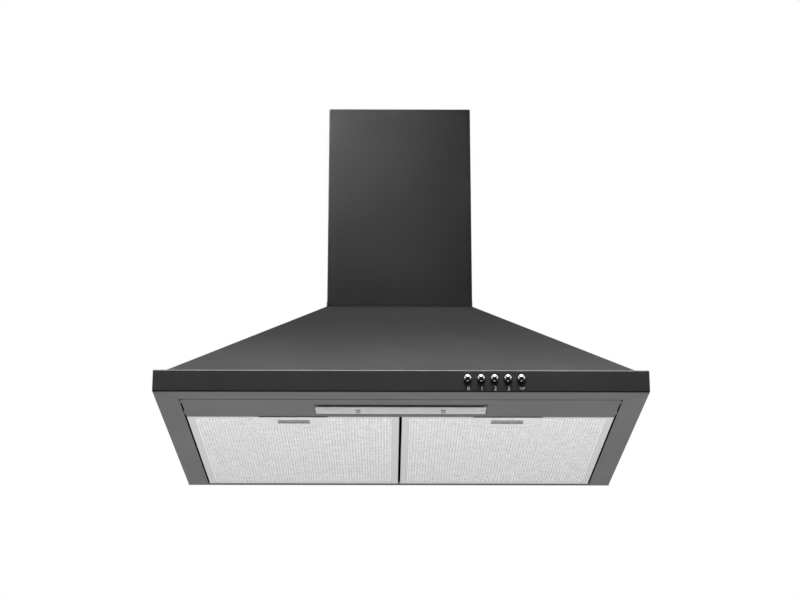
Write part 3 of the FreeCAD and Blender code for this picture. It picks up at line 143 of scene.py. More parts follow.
def ramp_between(
    tree: bpy.types.NodeTree, value: bpy.types.NodeSocket, low: float, high: float,
    out_low: float = 0.0, out_high: float = 1.0,
) -> bpy.types.NodeSocket:
    """Maps a value smoothly from one span to another.

    Args:
        tree: The tree that the node goes into.
        value: The socket that is mapped.
        low: The value that gives out_low.
        high: The value that gives out_high.
        out_low: The result at and below low.
        out_high: The result at and above high.

    Returns:
        The socket that holds the result.
    """
    node = add_node(tree, "ShaderNodeMapRange", interpolation_type="SMOOTHSTEP")
    for name, number in zip(("From Min", "From Max", "To Min", "To Max"),
                            (low, high, out_low, out_high)):
        node.inputs[name].default_value = number
    tree.links.new(value, node.inputs["Value"])
    return node.outputs["Result"]


def curve_of(
    tree: bpy.types.NodeTree, value: bpy.types.NodeSocket, stops: Sequence[tuple[float, float]],
) -> bpy.types.NodeSocket:
    """Maps a value through a curve.

    Args:
        tree: The tree that the node goes into.
        value: The socket that is mapped, from 0 to 1.
        stops: The curve's places and the results there, in order.

    Returns:
        The socket that holds the result.
    """
    node = add_node(tree, "ShaderNodeValToRGB")
    node.color_ramp.interpolation = "EASE"
    elements = node.color_ramp.elements
    while len(elements) < len(stops):
        elements.new(0.5)
    for element, (place, level) in zip(elements, stops):
        element.position = place
        element.color = (level, level, level, 1.0)
    tree.links.new(value, node.inputs["Fac"])
    return node.outputs["Color"]


def new_group(
    name: str, inputs: dict[str, tuple[str, float]], outputs: Sequence[str],
) -> tuple[bpy.types.NodeTree, bpy.types.Node, bpy.types.Node]:
    """Starts a shader node group.

    Args:
        name: The group's name.
        inputs: Each input's name, with its socket type and its usual value.
        outputs: The names of the outputs, which are all numbers.

    Returns:
        The group's tree, its input node and its output node.
    """
    tree = bpy.data.node_groups.new(name, "ShaderNodeTree")
    for label, (kind, usual) in inputs.items():
        socket = tree.interface.new_socket(label, in_out="INPUT", socket_type=kind)
        if kind == "NodeSocketFloat":
            socket.default_value = usual
    for label in outputs:
        tree.interface.new_socket(label, in_out="OUTPUT", socket_type="NodeSocketFloat")
    return tree, add_node(tree, "NodeGroupInput"), add_node(tree, "NodeGroupOutput")


class Patterns:
    """The node groups that several finishes share, each built once.

    The grain's finer and broader layers are that many times as dense as its cells, and the
    weights say how much each layer counts.
    """

    CELL_SMOOTHNESS = 0.6
    FINER = 1.7
    BROADER = 0.02
    PIT_WEIGHT = -0.8
    BUMP_WEIGHT = 0.5
    FINE_TONE = 0.6
    BROAD_TONE = 0.4
    WIDE_STREAKS = 0.13
    WANDER_DENSITY = 0.4
    # How much darker each ridge's trough is painted than its crest: painted shade that follows the
    # ridges.
    WANDER_REACH = 0.5
    RIDGE_TONE = 0.2
    RIDGE_BASE = 0.25
    CLOUD_SPAN: Span = (0.3, 0.7)

    def __init__(self) -> None:
        """Builds the groups."""
        self.grain = self._grain()
        self.streaks = self._streaks()
        self.ridges = self._ridges()
        self.clouds = self._clouds()

    @staticmethod
    def _noise(
        tree: bpy.types.NodeTree, vector: bpy.types.NodeSocket, scale: bpy.types.NodeSocket,
        detail: float, roughness: float,
    ) -> bpy.types.NodeSocket:
        """Adds a noise texture to a group.

        Args:
            tree: The group's tree.
            vector: The coordinates.
            scale: The number of features in a metre.
            detail: The number of finer layers.
            roughness: The strength of the finer layers.

        Returns:
            The socket of the noise's value.
        """
        node = add_node(tree, "ShaderNodeTexNoise")
        node.inputs["Detail"].default_value = detail
        node.inputs["Roughness"].default_value = roughness
        tree.links.new(vector, node.inputs["Vector"])
        tree.links.new(scale, node.inputs["Scale"])
        return node.outputs["Fac"]

    def _grain(self) -> bpy.types.NodeTree:
        """The pebbled surface of a textured coat: pits between soft bumps.

        Returns:
            The group, which puts out Height and Tone.
        """
        tree, given, result = new_group(
            "pebbled grain",
            {"Vector": ("NodeSocketVector", 0.0), "Scale": ("NodeSocketFloat", 800.0)},
            ("Height", "Tone"))
        scale = given.outputs["Scale"]
        cells = add_node(tree, "ShaderNodeTexVoronoi", feature="SMOOTH_F1")
        cells.inputs["Smoothness"].default_value = self.CELL_SMOOTHNESS
        tree.links.new(given.outputs["Vector"], cells.inputs["Vector"])
        tree.links.new(scale, cells.inputs["Scale"])
        fine = self._noise(
            tree, given.outputs["Vector"], calculate(tree, "MULTIPLY", scale, self.FINER),
            detail=2.0, roughness=0.5)
        pits = calculate(tree, "MULTIPLY", cells.outputs["Distance"], self.PIT_WEIGHT)
        height = calculate(tree, "ADD", pits, calculate(tree, "MULTIPLY", fine, self.BUMP_WEIGHT))
        broad = self._noise(
            tree, given.outputs["Vector"], calculate(tree, "MULTIPLY", scale, self.BROADER),
            detail=3.0, roughness=0.55)
        tone = calculate(tree, "ADD", calculate(tree, "MULTIPLY", fine, self.FINE_TONE),
                         calculate(tree, "MULTIPLY", broad, self.BROAD_TONE))
        tree.links.new(height, result.inputs["Height"])
        tree.links.new(tone, result.inputs["Tone"])
        return tree

    def _streaks(self) -> bpy.types.NodeTree:
        """Fine lines of rolled or brushed metal, drawn out along one direction.

        Returns:
            The group, which puts out Height and Tone.
        """
        tree, given, result = new_group(
            "drawn streaks",
            {"Vector": ("NodeSocketVector", 0.0), "Scale": ("NodeSocketFloat", 1500.0)},
            ("Height", "Tone"))
        lines = self._noise(tree, given.outputs["Vector"], given.outputs["Scale"],
                            detail=2.0, roughness=0.6)
        spread = calculate(tree, "MULTIPLY", given.outputs["Scale"], self.WIDE_STREAKS)
        wide = self._noise(tree, given.outputs["Vector"], spread, detail=2.0, roughness=0.5)
        tree.links.new(lines, result.inputs["Height"])
        tree.links.new(calculate(tree, "ADD", calculate(tree, "MULTIPLY", lines, 0.5),
                                 calculate(tree, "MULTIPLY", wide, 0.5)), result.inputs["Tone"])
        return tree

    def _ridges(self) -> bpy.types.NodeTree:
        """Fine crimped ridges that run from front to back, a little uneven, with painted shade:
        the tone is darker in each ridge's trough and lighter on its crest, and it also wanders at
        random.

        Returns:
            The group, which puts out Height and Tone.
        """
        tree, given, result = new_group(
            "crimped ridges",
            {"Vector": ("NodeSocketVector", 0.0), "Scale": ("NodeSocketFloat", 260.0)},
            ("Height", "Tone"))
        scale = given.outputs["Scale"]
        parts = add_node(tree, "ShaderNodeSeparateXYZ")
        tree.links.new(given.outputs["Vector"], parts.inputs["Vector"])
        wander = self._noise(
            tree, given.outputs["Vector"], calculate(tree, "MULTIPLY", scale, self.WANDER_DENSITY),
            detail=2.0, roughness=0.5)
        turns = calculate(tree, "MULTIPLY_ADD", parts.outputs["X"], scale,
                          calculate(tree, "MULTIPLY", wander, self.WANDER_REACH))
        wave = calculate(tree, "SINE", calculate(tree, "MULTIPLY", turns, math.tau))
        tree.links.new(calculate(tree, "MULTIPLY_ADD", wave, 0.5, 0.5), result.inputs["Height"])
        # Painted shade: the tone follows the ridge wave, dark in the troughs and light on the
        # crests.
        level = calculate(tree, "MULTIPLY_ADD", wave, self.RIDGE_TONE, self.RIDGE_BASE)
        tree.links.new(calculate(tree, "MULTIPLY_ADD", wander, self.WANDER_REACH, level),
                       result.inputs["Tone"])
        return tree

    def _clouds(self) -> bpy.types.NodeTree:
        """Slow patches, as of handling and cleaning.

        Returns:
            The group, which puts out Tone.
        """
        tree, given, result = new_group(
            "slow patches",
            {"Vector": ("NodeSocketVector", 0.0), "Scale": ("NodeSocketFloat", 20.0)},
            ("Tone",))
        patches = self._noise(tree, given.outputs["Vector"], given.outputs["Scale"],
                              detail=4.0, roughness=0.55)
        tree.links.new(ramp_between(tree, patches, *self.CLOUD_SPAN), result.inputs["Tone"])
        return tree


TONE_SPAN: Span = (0.25, 0.75)


@dataclass(frozen=True)
class Finish:
    """A surface finish, which becomes one material.

    The colour is linear. Its shade swings by tone_swing either way, and the roughness by
    roughness_swing, as the pattern's tone does.
    """

    name: str
    colour: Colour
    roughness: float
    metallic: float = 0.0
    pattern: str = "clouds"
    scale: float = 30.0
    stretch: Point = (1.0, 1.0, 1.0)
    tone_swing: float = 0.06
    roughness_swing: float = 0.05
    bump: float = 0.0
    depth: float = 0.0001
    transmission: float = 0.0
    ior: float = 1.5
    coat: float = 0.0

    def build(self, patterns: Patterns) -> bpy.types.Material:
        """Builds the material.

        Args:
            patterns: The shared node groups.

        Returns:
            The material.
        """
        material = bpy.data.materials.new(self.name)
        material.use_nodes = True
        tree = material.node_tree
        shader = tree.nodes["Principled BSDF"]
        shader.inputs["Metallic"].default_value = self.metallic
        shader.inputs["Transmission Weight"].default_value = self.transmission
        shader.inputs["IOR"].default_value = self.ior
        shader.inputs["Coat Weight"].default_value = self.coat
        where = add_node(tree, "ShaderNodeTexCoord")
        drawn = add_node(tree, "ShaderNodeMapping")
        drawn.inputs["Scale"].default_value = self.stretch
        tree.links.new(where.outputs["Object"], drawn.inputs["Vector"])
        group = add_node(tree, "ShaderNodeGroup", node_tree=getattr(patterns, self.pattern))
        group.inputs["Scale"].default_value = self.scale
        tree.links.new(drawn.outputs["Vector"], group.inputs["Vector"])
        tone = group.outputs["Tone"]
        self._colour(tree, shader, tone)
        spread = (self.roughness - self.roughness_swing, self.roughness + self.roughness_swing)
        tree.links.new(ramp_between(tree, tone, *TONE_SPAN, *spread), shader.inputs["Roughness"])
        if self.bump:
            relief = add_node(tree, "ShaderNodeBump")
            relief.inputs["Strength"].default_value = self.bump
            relief.inputs["Distance"].default_value = self.depth
            tree.links.new(group.outputs["Height"], relief.inputs["Height"])
            tree.links.new(relief.outputs["Normal"], shader.inputs["Normal"])
        return material

    def _colour(
        self, tree: bpy.types.NodeTree, shader: bpy.types.Node, tone: bpy.types.NodeSocket,
    ) -> None:
        """Lets the base colour swing with the pattern's tone.

        Args:
            tree: The material's tree.
            shader: Its surface shader.
            tone: The pattern's tone.
        """
        mix = add_node(tree, "ShaderNodeMix", data_type="RGBA")
        shades = [tuple(min(1.0, c * (1 + swing)) for c in self.colour) + (1.0,)
                  for swing in (-self.tone_swing, self.tone_swing)]
        mix.inputs[6].default_value, mix.inputs[7].default_value = shades
        tree.links.new(ramp_between(tree, tone, *TONE_SPAN), mix.inputs["Factor"])
        tree.links.new(mix.outputs[2], shader.inputs["Base Color"])


SATIN_PAINT = Finish(
    "satin black paint", (0.010, 0.010, 0.0102), 0.46, pattern="grain", scale=620.0,
    tone_swing=0.3, roughness_swing=0.04, bump=0.6, depth=0.00014, ior=1.6)
TEXTURED_PAINT = Finish(
    "textured black paint", (0.008, 0.008, 0.0082), 0.46, pattern="grain", scale=520.0,
    tone_swing=0.45, roughness_swing=0.06, bump=1.0, depth=0.00028)
ROLLED_ALUMINIUM = Finish(
    "rolled aluminium", (0.53, 0.53, 0.53), 0.34, 1.0, "streaks", 1400.0, (0.03, 1.0, 1.0),
    0.03, 0.05, 0.12, 0.00003)
PRESSED_ALUMINIUM = Finish(
    "pressed aluminium", (0.62, 0.62, 0.62), 0.3, 1.0, "clouds", 80.0, tone_swing=0.03,
    roughness_swing=0.04)
# The two expanded meshes below take the ridges pattern, whose tone holds painted shade: darker in
# each ridge's trough, lighter on its crest.
MESH_ALUMINIUM = Finish(
    "expanded aluminium", (0.92, 0.92, 0.92), 0.28, 1.0, "ridges", 263.0, tone_swing=0.15,
    roughness_swing=0.04, bump=0.22, depth=0.0004)
PACKED_ALUMINIUM = Finish(
    "packed aluminium", (0.88, 0.88, 0.88), 0.38, 1.0, "ridges", 263.0, tone_swing=0.25,
    roughness_swing=0.06, bump=0.4, depth=0.0006)
ZINC_STEEL = Finish(
    "zinc-coated steel", (0.60, 0.61, 0.62), 0.38, 1.0, "streaks", 300.0, tone_swing=0.08,
    roughness_swing=0.08, bump=0.05, depth=0.00003)
SPRING_WIRE = Finish(
    "spring wire", (0.50, 0.50, 0.51), 0.28, 1.0, "streaks", 900.0, tone_swing=0.08,
    bump=0.05, depth=0.00002)
POLISHED_CHROME = Finish(
    "polished chrome", (0.88, 0.88, 0.89), 0.06, 1.0, "clouds", 90.0, tone_swing=0.02,
    roughness_swing=0.02)
BLACK_PLASTIC = Finish(
    "black plastic", (0.012, 0.012, 0.012), 0.42, pattern="grain", scale=1500.0,
    tone_swing=0.1, bump=0.08, depth=0.00003)
GREY_PLASTIC = Finish(
    "grey plastic", (0.24, 0.25, 0.26), 0.42, pattern="grain", scale=1500.0, tone_swing=0.06,
    bump=0.08, depth=0.00003)
LATCH_PLASTIC = Finish(
    "latch grey plastic", (0.85, 0.85, 0.86), 0.4, pattern="grain", scale=1500.0,
    tone_swing=0.05, bump=0.06, depth=0.00003)
WHITE_PLASTIC = Finish(
    "white plastic", (0.74, 0.74, 0.72), 0.38, pattern="grain", scale=1500.0, tone_swing=0.04,
    bump=0.06, depth=0.00003)
SOFT_RUBBER = Finish(
    "soft rubber", (0.02, 0.02, 0.02), 0.7, pattern="grain", scale=900.0, tone_swing=0.1,
    bump=0.1, depth=0.00004)
LAMP_DIFFUSER = Finish(
    "milky ribbed plastic", (0.97, 0.97, 0.97), 0.2, pattern="clouds", scale=40.0,
    tone_swing=0.02, roughness_swing=0.03, transmission=0.08, ior=1.49)
CATCH_PLASTIC = Finish(
    "catch grey plastic", (0.34, 0.34, 0.34), 0.35, pattern="grain", scale=1500.0,
    tone_swing=0.06, bump=0.06, depth=0.00003)
FROSTED_GLASS = Finish(
    "frosted bulb glass", (0.93, 0.93, 0.90), 0.35, pattern="clouds", scale=60.0,
    tone_swing=0.02, transmission=0.5, ior=1.45)
BRASS_SHELL = Finish(
    "brass shell", (0.72, 0.54, 0.25), 0.3, 1.0, "streaks", 700.0, (0.05, 1.0, 1.0), 0.06, 0.06,
    0.05, 0.00002)
CERAMIC = Finish(
    "unglazed ceramic", (0.80, 0.78, 0.73), 0.55, pattern="grain", scale=1100.0,
    tone_swing=0.05, bump=0.12, depth=0.00004)
LEGEND_INK = Finish(
    "printed legend ink", (0.88, 0.88, 0.88), 0.5, pattern="clouds", scale=900.0,
    tone_swing=0.08)
IMPELLER_PLASTIC = Finish(
    "impeller plastic", (0.03, 0.03, 0.032), 0.45, pattern="grain", scale=1200.0,
    tone_swing=0.1, bump=0.08, depth=0.00003)


class Wardrobe:
    """Hands out the materials, each built when it is first asked for."""

    def __init__(self) -> None:
        """Builds the shared node groups."""
        self.patterns = Patterns()
        self.made: dict[Finish, bpy.types.Material] = {}

    def material(self, finish: Finish) -> bpy.types.Material:
        """The material of a finish.

        Args:
            finish: The finish.

        Returns:
            Its material.
        """
        if finish not in self.made:
            self.made[finish] = finish.build(self.patterns)
        return self.made[finish]

    def dress(self, node: bpy.types.Object, finish: Finish) -> None:
        """Gives every slot of an object one finish.

        Args:
            node: The object.
            finish: The finish.
        """
        material = self.material(finish)
        if not node.data.materials:
            node.data.materials.append(material)
        for i in range(len(node.data.materials)):
            node.data.materials[i] = material


# Mesh pieces

@dataclass
class Workshop:
    """What every sub-assembly needs: the construction nodes and the finishes."""

    nodes: dict[str, bpy.types.Object]
    wardrobe: Wardrobe

    def dress_nodes(self, finishes: dict[Finish, Sequence[str]]) -> None:
        """Dresses construction nodes.

        Args:
            finishes: The nodes that take each finish.
        """
        for finish, names in finishes.items():
            for name in names:
                self.wardrobe.dress(self.nodes[name], finish)
                LOG.info("dressed %s in %s", name, finish.name)

    def piece(
        self, name: str, mesh: bmesh.types.BMesh, body: str, slot: str, finish: Finish,
        smooth_below: float = 40.0,
    ) -> bpy.types.Object:
        """Makes a piece of a finished mesh, and sets it on its body.

        Args:
            name: The piece's name.
            mesh: Its mesh, in place, which is used up.
            body: The moving body that it rides on.
            slot: The record's slot for the piece. Not used.
            finish: Its finish.
            smooth_below: The largest angle between faces, in degrees, that is shaded smooth.

        Returns:
            The piece.
        """
        data = bpy.data.meshes.new(name)
        mesh.to_mesh(data)
        mesh.free()
        piece = bpy.data.objects.new(name, data)
        bpy.context.scene.collection.objects.link(piece)
        data.shade_smooth()
        data.set_sharp_from_angle(angle=math.radians(smooth_below))
        self.wardrobe.dress(piece, finish)
        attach(piece, body)
        LOG.info("made %s with %d faces", name, len(data.polygons))
        return piece

    def compress(self, spring: str, joint: str, travel: float) -> None:
        """Gives a coil spring's construction node its own copy of its mesh.

        Args:
            spring: The spring's construction node.
            joint: The joint that pushes its front end. Not used.
            travel: How far the joint moves. Not used.
        """
        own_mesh(self.nodes[spring])


def turned(
    mesh: bmesh.types.BMesh, profile: Sequence[tuple[float, float]], centre: Vector, axis: Axis,
    steps: int = 32,
) -> None:
    """Adds a turned shape to a mesh.

    Args:
        mesh: The mesh that it is added to.
        profile: Its outline as (radius, place along the axis), from one end to the other.
        centre: Where the profile's zero lies.
        axis: The direction of its axis.
        steps: The number of facets around it.
    """
    place = Matrix.Translation(centre) @ axis.value
    points = [mesh.verts.new(place @ Vector((radius, 0.0, along))) for radius, along in profile]
    edges = [mesh.edges.new(pair) for pair in zip(points, points[1:])]
    bmesh.ops.spin(
        mesh, geom=points + edges, cent=centre, axis=axis.value.to_3x3() @ Vector((0, 0, 1)),
        angle=math.tau, steps=steps, use_merge=True)


def close_up(mesh: bmesh.types.BMesh, within: float = 1e-6) -> None:
    """Merges doubled points and turns every face outwards.

    Args:
        mesh: The mesh.
        within: How near two points are merged.
    """
    bmesh.ops.remove_doubles(mesh, verts=mesh.verts, dist=within)
    bmesh.ops.recalc_face_normals(mesh, faces=mesh.faces)


def block(
    mesh: bmesh.types.BMesh, low: Vector, high: Vector, edge: float = 0.0, segments: int = 2,
) -> None:
    """Adds a block with softened edges to a mesh.

    Args:
        mesh: The mesh that it is added to.
        low: Its lowest corner.
        high: Its highest corner.
        edge: The size of its rounded edges.
        segments: The number of facets in each rounded edge.
    """
    size = high - low
    place = Matrix.Translation((low + high) / 2) @ Matrix.Diagonal(size).to_4x4()
    made = bmesh.ops.create_cube(mesh, size=1.0, matrix=place)
    if edge:
        edges = {e for vert in made["verts"] for e in vert.link_edges}
        bmesh.ops.bevel(
            mesh, geom=list(edges), offset=edge, offset_type="OFFSET", segments=segments,
            profile=0.5, affect="EDGES", material=-1)


# Sub-assemblies

@dataclass
class HoodBody:
    """The painted sheet-metal body: band, canopy, back, light panel and rear rail."""

    shop: Workshop

    def build(self) -> None:
        """Dresses the body's sheets."""
        self.shop.dress_nodes({
            SATIN_PAINT: ("base_frame", "canopy_shell", "back_panel", "light_panel", "rear_rail",
                          "chimney_seat"),
        })


@dataclass
class Chimney:
    """The chimney covers, the wall bracket and the screws of both."""

    shop: Workshop
    head_radius: float = 4.0 * MM
    head_height: float = 1.8 * MM
    recess_width: float = 1.1 * MM
    recess_reach: float = 2.2 * MM
    recess_depth: float = 1.1 * MM
    recess_arms: int = 4
    crown_share: float = 0.8
    edge_drop: float = 0.5 * MM
    head_steps: int = 24

    def build(self) -> None:
        """Dresses the covers and makes the screws."""
        self.shop.dress_nodes({
            TEXTURED_PAINT: ("chimney_lower_cover", "chimney_upper_cover"),
            ZINC_STEEL: ("upper_cover_bracket",),
        })
        self._screws("cover_screws", "hood", outwards=1)
        self._screws("bracket_screws", "upper_cover", outwards=-1)

    def _screws(self, node: str, body: str, outwards: int) -> None:
        """Makes cross-recessed screws where the plain ones of a node are.

        Args:
            node: The construction node with the plain screws.
            body: The body that they ride on.
            outwards: 1 where the heads look away from the middle, and -1 where they look in.
        """
        mesh = bmesh.new()
        for centre, side in self._heads(node):
            self._head(mesh, centre, side * outwards)
        close_up(mesh)
        piece = self.shop.piece(f"{node}_recessed", mesh, body, "chrome", ZINC_STEEL)
        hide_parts(node)

    def _heads(self, node: str) -> list[tuple[Vector, int]]:
        """Finds the middle of each plain screw's head.

        Args:
            node: The construction node.

        Returns:
            Each head's middle on the face that it bears on, and the side that it is on.
        """
        low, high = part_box(node)
        heads = []
        for side in Side:
            outer = high.x if side is Side.RIGHT else low.x
            near = [v.co for v in self.shop.nodes[node].data.vertices
                    if side.sign * v.co.x > 0]
            rows = sorted({round(co.y, 3) for co in near})
            middles = [(rows[0] + self.head_radius), (rows[-1] - self.head_radius)]
            if rows[-1] - rows[0] < 3 * self.head_radius:
                middles = [sum(middles) / 2]
            level = (low.z + high.z) / 2
            bearing = outer - side.sign * self.head_height
            if node == "bracket_screws":
                bearing = min((abs(co.x) for co in near)) * side.sign
                bearing += side.sign * self.head_height
            heads += [(Vector((bearing, y, level)), side.sign) for y in middles]
        return heads

    def _head(self, mesh: bmesh.types.BMesh, centre: Vector, outwards: int) -> None:
        """Adds one pan head with a cross cut into it.

        Args:
            mesh: The mesh that it is added to.
            centre: The middle of the face that it bears on.
            outwards: The direction of its top along X.
        """
        half, reach = self.recess_width / 2, self.recess_reach
        rim = self.head_radius
        cross = [(half, half), (reach, half), (reach, -half), (half, -half)]
        own = bmesh.new()
        corners = []
        for arm in range(self.recess_arms):
            turn = Matrix.Rotation(-math.radians(FULL_TURN * arm / self.recess_arms), 3, "Z")
            corners += [turn @ Vector((x, y, 0.0)) for x, y in cross[:3]]
        ring = [own.verts.new(c) for c in corners]
        floor = own.faces.new(ring)
        walls = bmesh.ops.extrude_face_region(own, geom=[floor])
        top = [v for v in walls["geom"] if isinstance(v, bmesh.types.BMVert)]
        bmesh.ops.translate(own, verts=top, vec=(0, 0, self.recess_depth))
        lid = [f for f in walls["geom"] if isinstance(f, bmesh.types.BMFace)]
        edges = [e for e in own.edges if all(v in top for v in e.verts)]
        bmesh.ops.delete(own, geom=lid, context="FACES_ONLY")
        made = bmesh.ops.create_circle(own, cap_ends=False, segments=self.head_steps,
                                       radius=rim * self.crown_share)
        bmesh.ops.translate(own, verts=made["verts"], vec=(0, 0, self.recess_depth))
        outer = [e for v in made["verts"] for e in v.link_edges]
        bmesh.ops.bridge_loops(own, edges=edges + list(set(outer)))
        for drop in (self.edge_drop, self.head_height):
            level = self.recess_depth - drop
            made = bmesh.ops.create_circle(own, cap_ends=False, segments=self.head_steps,
                                           radius=rim)
            bmesh.ops.translate(own, verts=made["verts"], vec=(0, 0, level))
            ring_edges = list({e for v in made["verts"] for e in v.link_edges})
            bmesh.ops.bridge_loops(own, edges=list(set(outer)) + ring_edges)
            outer = ring_edges
        bmesh.ops.holes_fill(own, edges=outer)
        shift = self.head_height - self.recess_depth
        bmesh.ops.translate(own, verts=own.verts, vec=(0, 0, shift))
        turn = Matrix.Rotation(math.radians(90 * outwards), 4, "Y")
        bmesh.ops.transform(own, matrix=Matrix.Translation(centre) @ turn, verts=own.verts)
        scratch = bpy.data.meshes.new("head_scratch")
        own.to_mesh(scratch)
        own.free()
        mesh.from_mesh(scratch)
        bpy.data.meshes.remove(scratch)


@dataclass
class GreaseFilter:
    """One grease filter: its frame, its layers of expanded metal, and its latch."""

    shop: Workshop
    side: Side
    cell_width: float = 3.6 * MM
    cell_length: float = 6.6 * MM
    strand: float = 0.62 * MM
    gauge: float = 0.35 * MM
    twist: float = 0.08 * MM
    latch_room: float = 52.0 * MM
    latch_reach: float = 26.6 * MM
    latch_travel: float = 4.0 * MM
    layer_gap: float = 0.1 * MM
    smallest_share: float = 0.3

    @property
    def body(self) -> str:
        """The moving body of this filter."""
        return f"filter_{self.side.value}"

    def build(self) -> None:
        """Dresses the frame and latch, and makes the layers."""
        word = self.side.value
        self.shop.dress_nodes({
            ROLLED_ALUMINIUM: (f"filter_frame_{word}",),
            PRESSED_ALUMINIUM: (f"filter_latch_plate_{word}",),
            LATCH_PLASTIC: (f"filter_latch_{word}",),
            SPRING_WIRE: (f"filter_latch_spring_{word}",),
            PACKED_ALUMINIUM: (f"filter_mesh_{word}",),
        })
        self.shop.compress(f"filter_latch_spring_{word}", f"latch_{word}_slide",
                           self.latch_travel)
        low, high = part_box(f"filter_mesh_{word}")
        for name, level, turn, thick in (
                ("lower", low.z - self.layer_gap, 0.0, True),
                ("upper", high.z + self.layer_gap, math.pi, False)):
            mesh = self._layer(low, high, thick)
            middle = (low + high) / 2
            place = Matrix.Translation((middle.x, middle.y, level))
            bmesh.ops.transform(mesh, matrix=place @ Matrix.Rotation(turn, 4, "X"),
                                verts=mesh.verts)
            covered = [f for f in mesh.faces
                       if f.calc_center_median().y < low.y + self.latch_reach
                       and abs(f.calc_center_median().x - middle.x) < self.latch_room / 2]
            bmesh.ops.delete(mesh, geom=covered, context="FACES")
            self.shop.piece(f"filter_mesh_{name}_{word}", mesh, self.body, "aluminium_mesh",
                            MESH_ALUMINIUM, smooth_below=10.0)

    def _layer(self, low: Vector, high: Vector, thick: bool) -> bmesh.types.BMesh:
        """Makes a sheet of expanded metal about the origin: diamonds with twisted strands.

        Args:
            low: The lowest corner of the pack of layers.
            high: Its highest corner.
            thick: Whether the sheet gets its thickness.

        Returns:
            The sheet's mesh.
        """
        size = high - low
        across = size.x / self.cell_width + size.y / self.cell_length
        count = 2 * math.ceil(across / 2) + 2
        mesh = bmesh.new()
        bmesh.ops.create_grid(mesh, x_segments=count, y_segments=count, size=count / 2)
        diamond = (Matrix.Diagonal((self.cell_width / math.sqrt(2),
                                    self.cell_length / math.sqrt(2), 1.0, 1.0))
                   @ Matrix.Rotation(math.radians(45), 4, "Z"))
        bmesh.ops.transform(mesh, matrix=diamond, verts=mesh.verts)
        for reach, normal in ((size.x / 2, Vector((1, 0, 0))), (size.y / 2, Vector((0, 1, 0)))):
            for way in (-1, 1):
                bmesh.ops.bisect_plane(
                    mesh, geom=mesh.verts[:] + mesh.edges[:] + mesh.faces[:],
                    plane_co=normal * reach * way, plane_no=normal * way, clear_outer=True)
        smallest = self.smallest_share * self.cell_width * self.cell_length / 2
        whole = [f for f in mesh.faces if f.calc_area() > smallest]
        centres = {f: f.calc_center_median() for f in whole}
        bmesh.ops.inset_individual(mesh, faces=whole, thickness=self.strand, use_even_offset=True)
        for face, centre in centres.items():
            for vert in face.verts:
                vert.co.z += self.twist * (1 if vert.co.y > centre.y else -1)
        bmesh.ops.delete(mesh, geom=whole, context="FACES")
        if thick:
            bmesh.ops.solidify(mesh, geom=mesh.faces[:], thickness=self.gauge)
        return mesh


